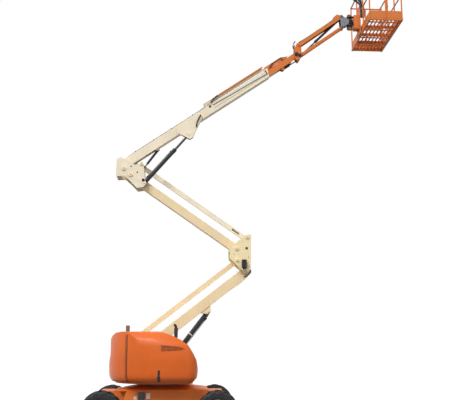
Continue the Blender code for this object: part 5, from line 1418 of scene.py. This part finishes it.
@dataclass
class Turret:
    """Fittings of the turret: cheek caps, exhaust, the risers' guard post and the hoses to the risers."""

    exhaust_x: float = -0.745
    guard_x: float = 0.290
    post_y: float = -0.33375
    foot: float = 0.998

    def exhaust(self) -> None:
        """Make the exhaust, with its thicker head above the hoods."""
        x, y = self.exhaust_x, self.post_y
        stub = Work(TURN).rod((x, y, self.foot), (x, y, 2.045), 0.026, 22)
        for along in (x - 0.010, x + 0.002):
            stub.rod((along, y, 2.040), (along, y, 2.158), 0.036, 26)
            stub.rod((along, y, 2.158), (along, y, 2.166), 0.031, 26)
        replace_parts(stub.done("exhaust_stub", Coat.EXHAUST, "exhaust", 0.002), "exhaust")

    def guard(self) -> None:
        """Make the guard post beside the risers, with its crook and sleeve."""
        x, y = self.guard_x, self.post_y
        route = [(x, y, z) for z in (self.foot, 1.5, 1.9, 2.05, 2.11)]
        route += [(0.288, y, 2.150), (0.272, y, 2.175), (0.240, y, 2.182)]
        post = hose("riser_guard_post", TURN, route, 0.027, "riser_guard", Coat.BLACK_PAINT)
        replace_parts(post, "riser_guard")
        sleeve = Work(TURN)
        for shift in (-0.007, 0.007):
            sleeve.rod((x + shift, y, 1.985), (x + shift, y, 2.120), 0.034, 24)
            sleeve.rod((x + shift * 1.7, y, 1.910), (x + shift * 1.7, y, 1.990), 0.0275, 24)
        sleeve.done("riser_guard_sleeve", Coat.HOSE, "riser_guard", 0.004)

    def build(self) -> None:
        """Make the turret's fittings."""
        pins = [(-0.589, 1.488, 0.050, 0.0144), (-0.821, 1.721, 0.0425, 0.01224)]
        Work(TURN).caps(pins, 0.2985, 0.3155, 26).done("cheek_caps", Coat.FRAME_ORANGE, "turret_frame", 0.0015)
        self.exhaust()
        self.guard()
        line = ((-0.20, 1.02), (-0.45, 1.20), (-0.62, 1.62), (-0.52, 1.80), (-0.40, 1.74))
        hoses("turret_hose", TURN, line, (-0.24, -0.22, 0.235), 0.011, "turret_frame")


SOFTENED: dict[str, float] = {
    "chassis_frame": 0.005,
    "turret_frame": 0.004,
    "tail_casting": 0.006,
    "counterweight": 0.008,
    "hood_near": 0.004,
    "hood_far": 0.004,
    "lower_riser": 0.003,
    "upper_riser": 0.003,
    "lower_link": 0.003,
    "upper_link": 0.003,
    "mid_upright": 0.002,
    "upper_upright": 0.002,
    "base_boom": 0.003,
    "fly_boom": 0.002,
    "jib_bracket": 0.0015,
    "jib_lower_arm": 0.002,
    "jib_upper_arm": 0.002,
    "platform_support": 0.003,
    "control_console": 0.004,
    "steer_axle": 0.003,
    "drive_axle": 0.003,
    "hydraulic_tank": 0.006,
    "engine_block": 0.006,
    "propshaft": 0.003,
}


# Studio


@dataclass
class Studio:
    """The floor, the light and the camera of the photograph."""

    eye: Colour = (0.579, -15.991, 1.812)
    yaw: float = -3.634
    pitch: float = 11.371
    lens: float = 54.15
    sensor: float = 36.0
    sky: tuple[float, ...] = (0.96, 0.98, 1.0, 1.0)
    ambient: float = 0.74
    lamps: tuple[tuple[str, float, float, float, float], ...] = (
        ("key", 2.35, -38.0, 48.0, 24.0),
        ("fill", 0.36, 55.0, 25.0, 60.0),
    )
    paper: Colour = (0.86, 0.86, 0.86)
    paper_bounce: Colour = (0.090, 0.088, 0.085)
    paper_glow: float = 0.35
    floor_reach: float = 60.0

    def camera(self) -> None:
        """Set the camera where the photograph was taken."""
        data = bpy.data.cameras.new("photograph")
        data.lens = self.lens
        data.sensor_width = self.sensor
        data.sensor_fit = "HORIZONTAL"
        data.clip_end = 200.0
        item = bpy.data.objects.new("photograph", data)
        item.location = TURN.origin + Vector(self.eye)
        item.rotation_euler = (math.radians(90 + self.pitch), 0.0, math.radians(self.yaw))
        bpy.context.scene.collection.objects.link(item)
        bpy.context.scene.camera = item

    def lamp(self, name: str, strength: float, heading: float, height: float, spread: float) -> None:
        """Add a soft sun.

        Args:
            name: The lamp's name.
            strength: Its strength.
            heading: Where it stands round the machine in degrees, 0 at the camera.
            height: Its height above the horizon in degrees.
            spread: Its apparent width in degrees, which softens the shadows.
        """
        data = bpy.data.lights.new(name, "SUN")
        data.energy = strength
        data.angle = math.radians(spread)
        item = bpy.data.objects.new(name, data)
        item.rotation_euler = (math.radians(90 - height), 0.0, math.radians(heading))
        bpy.context.scene.collection.objects.link(item)

    def world(self) -> None:
        """Make a white surround that lights the machine at a plain level."""
        world = bpy.data.worlds.new("studio")
        world.use_nodes = True
        bpy.context.scene.world = world
        graph = Graph(world.node_tree)
        white = graph.tree.nodes["Background"]
        graph.feed(white.inputs["Color"], WHITE)
        graph.feed(white.inputs["Strength"], 1.0)
        light = graph.add("ShaderNodeBackground", {}, {"Color": self.sky, "Strength": self.ambient})
        graph.finish("World Output", graph.shown(), light, Wire(graph, white.outputs[0]))

    def floor(self) -> None:
        """Lay a pale floor that keeps a soft shadow and throws little light back."""
        shape = bmesh.new()
        bmesh.ops.create_grid(shape, x_segments=1, y_segments=1, size=self.floor_reach)
        item = stood("floor", drawn("floor", shape))
        graph = Surface("floor_paper")
        seen = graph.shown()
        graph.set("Base Color", graph.blend(seen, self.paper_bounce, self.paper))
        graph.set("Roughness", 0.9)
        graph.set("Specular IOR Level", 0.0)
        glow = graph.add("ShaderNodeEmission", {}, {"Color": WHITE, "Strength": 1.0})
        paper = Wire(graph, graph.shader.outputs[0])
        graph.finish("Material Output", seen * self.paper_glow, paper, glow)
        item.data.materials.append(graph.material)

    def build(self) -> None:
        """Make the whole studio."""
        bpy.context.scene.view_settings.view_transform = "Standard"
        self.camera()
        self.world()
        self.floor()
        for lamp in self.lamps:
            self.lamp(*lamp)


def main() -> None:
    """Build the studio and every sub-assembly, in order."""
    logging.basicConfig(level=logging.INFO, format="%(message)s")
    Studio().build()
    paint_nodes()
    for node, width in SOFTENED.items():
        softened(node, width)
    for end in ("rear", "front"):
        for name, side in (("near", -1), ("far", 1)):
            Wheel(f"{name}_{end}", side).build()
    hoods = (Hood("near", -1), Hood("far", 1))
    for part in (Chassis(), Turret(), *hoods, Uprights(), Cylinders(), Boom(), Jib(), Basket()):
        part.build()


if __name__ == "__main__":
    main()
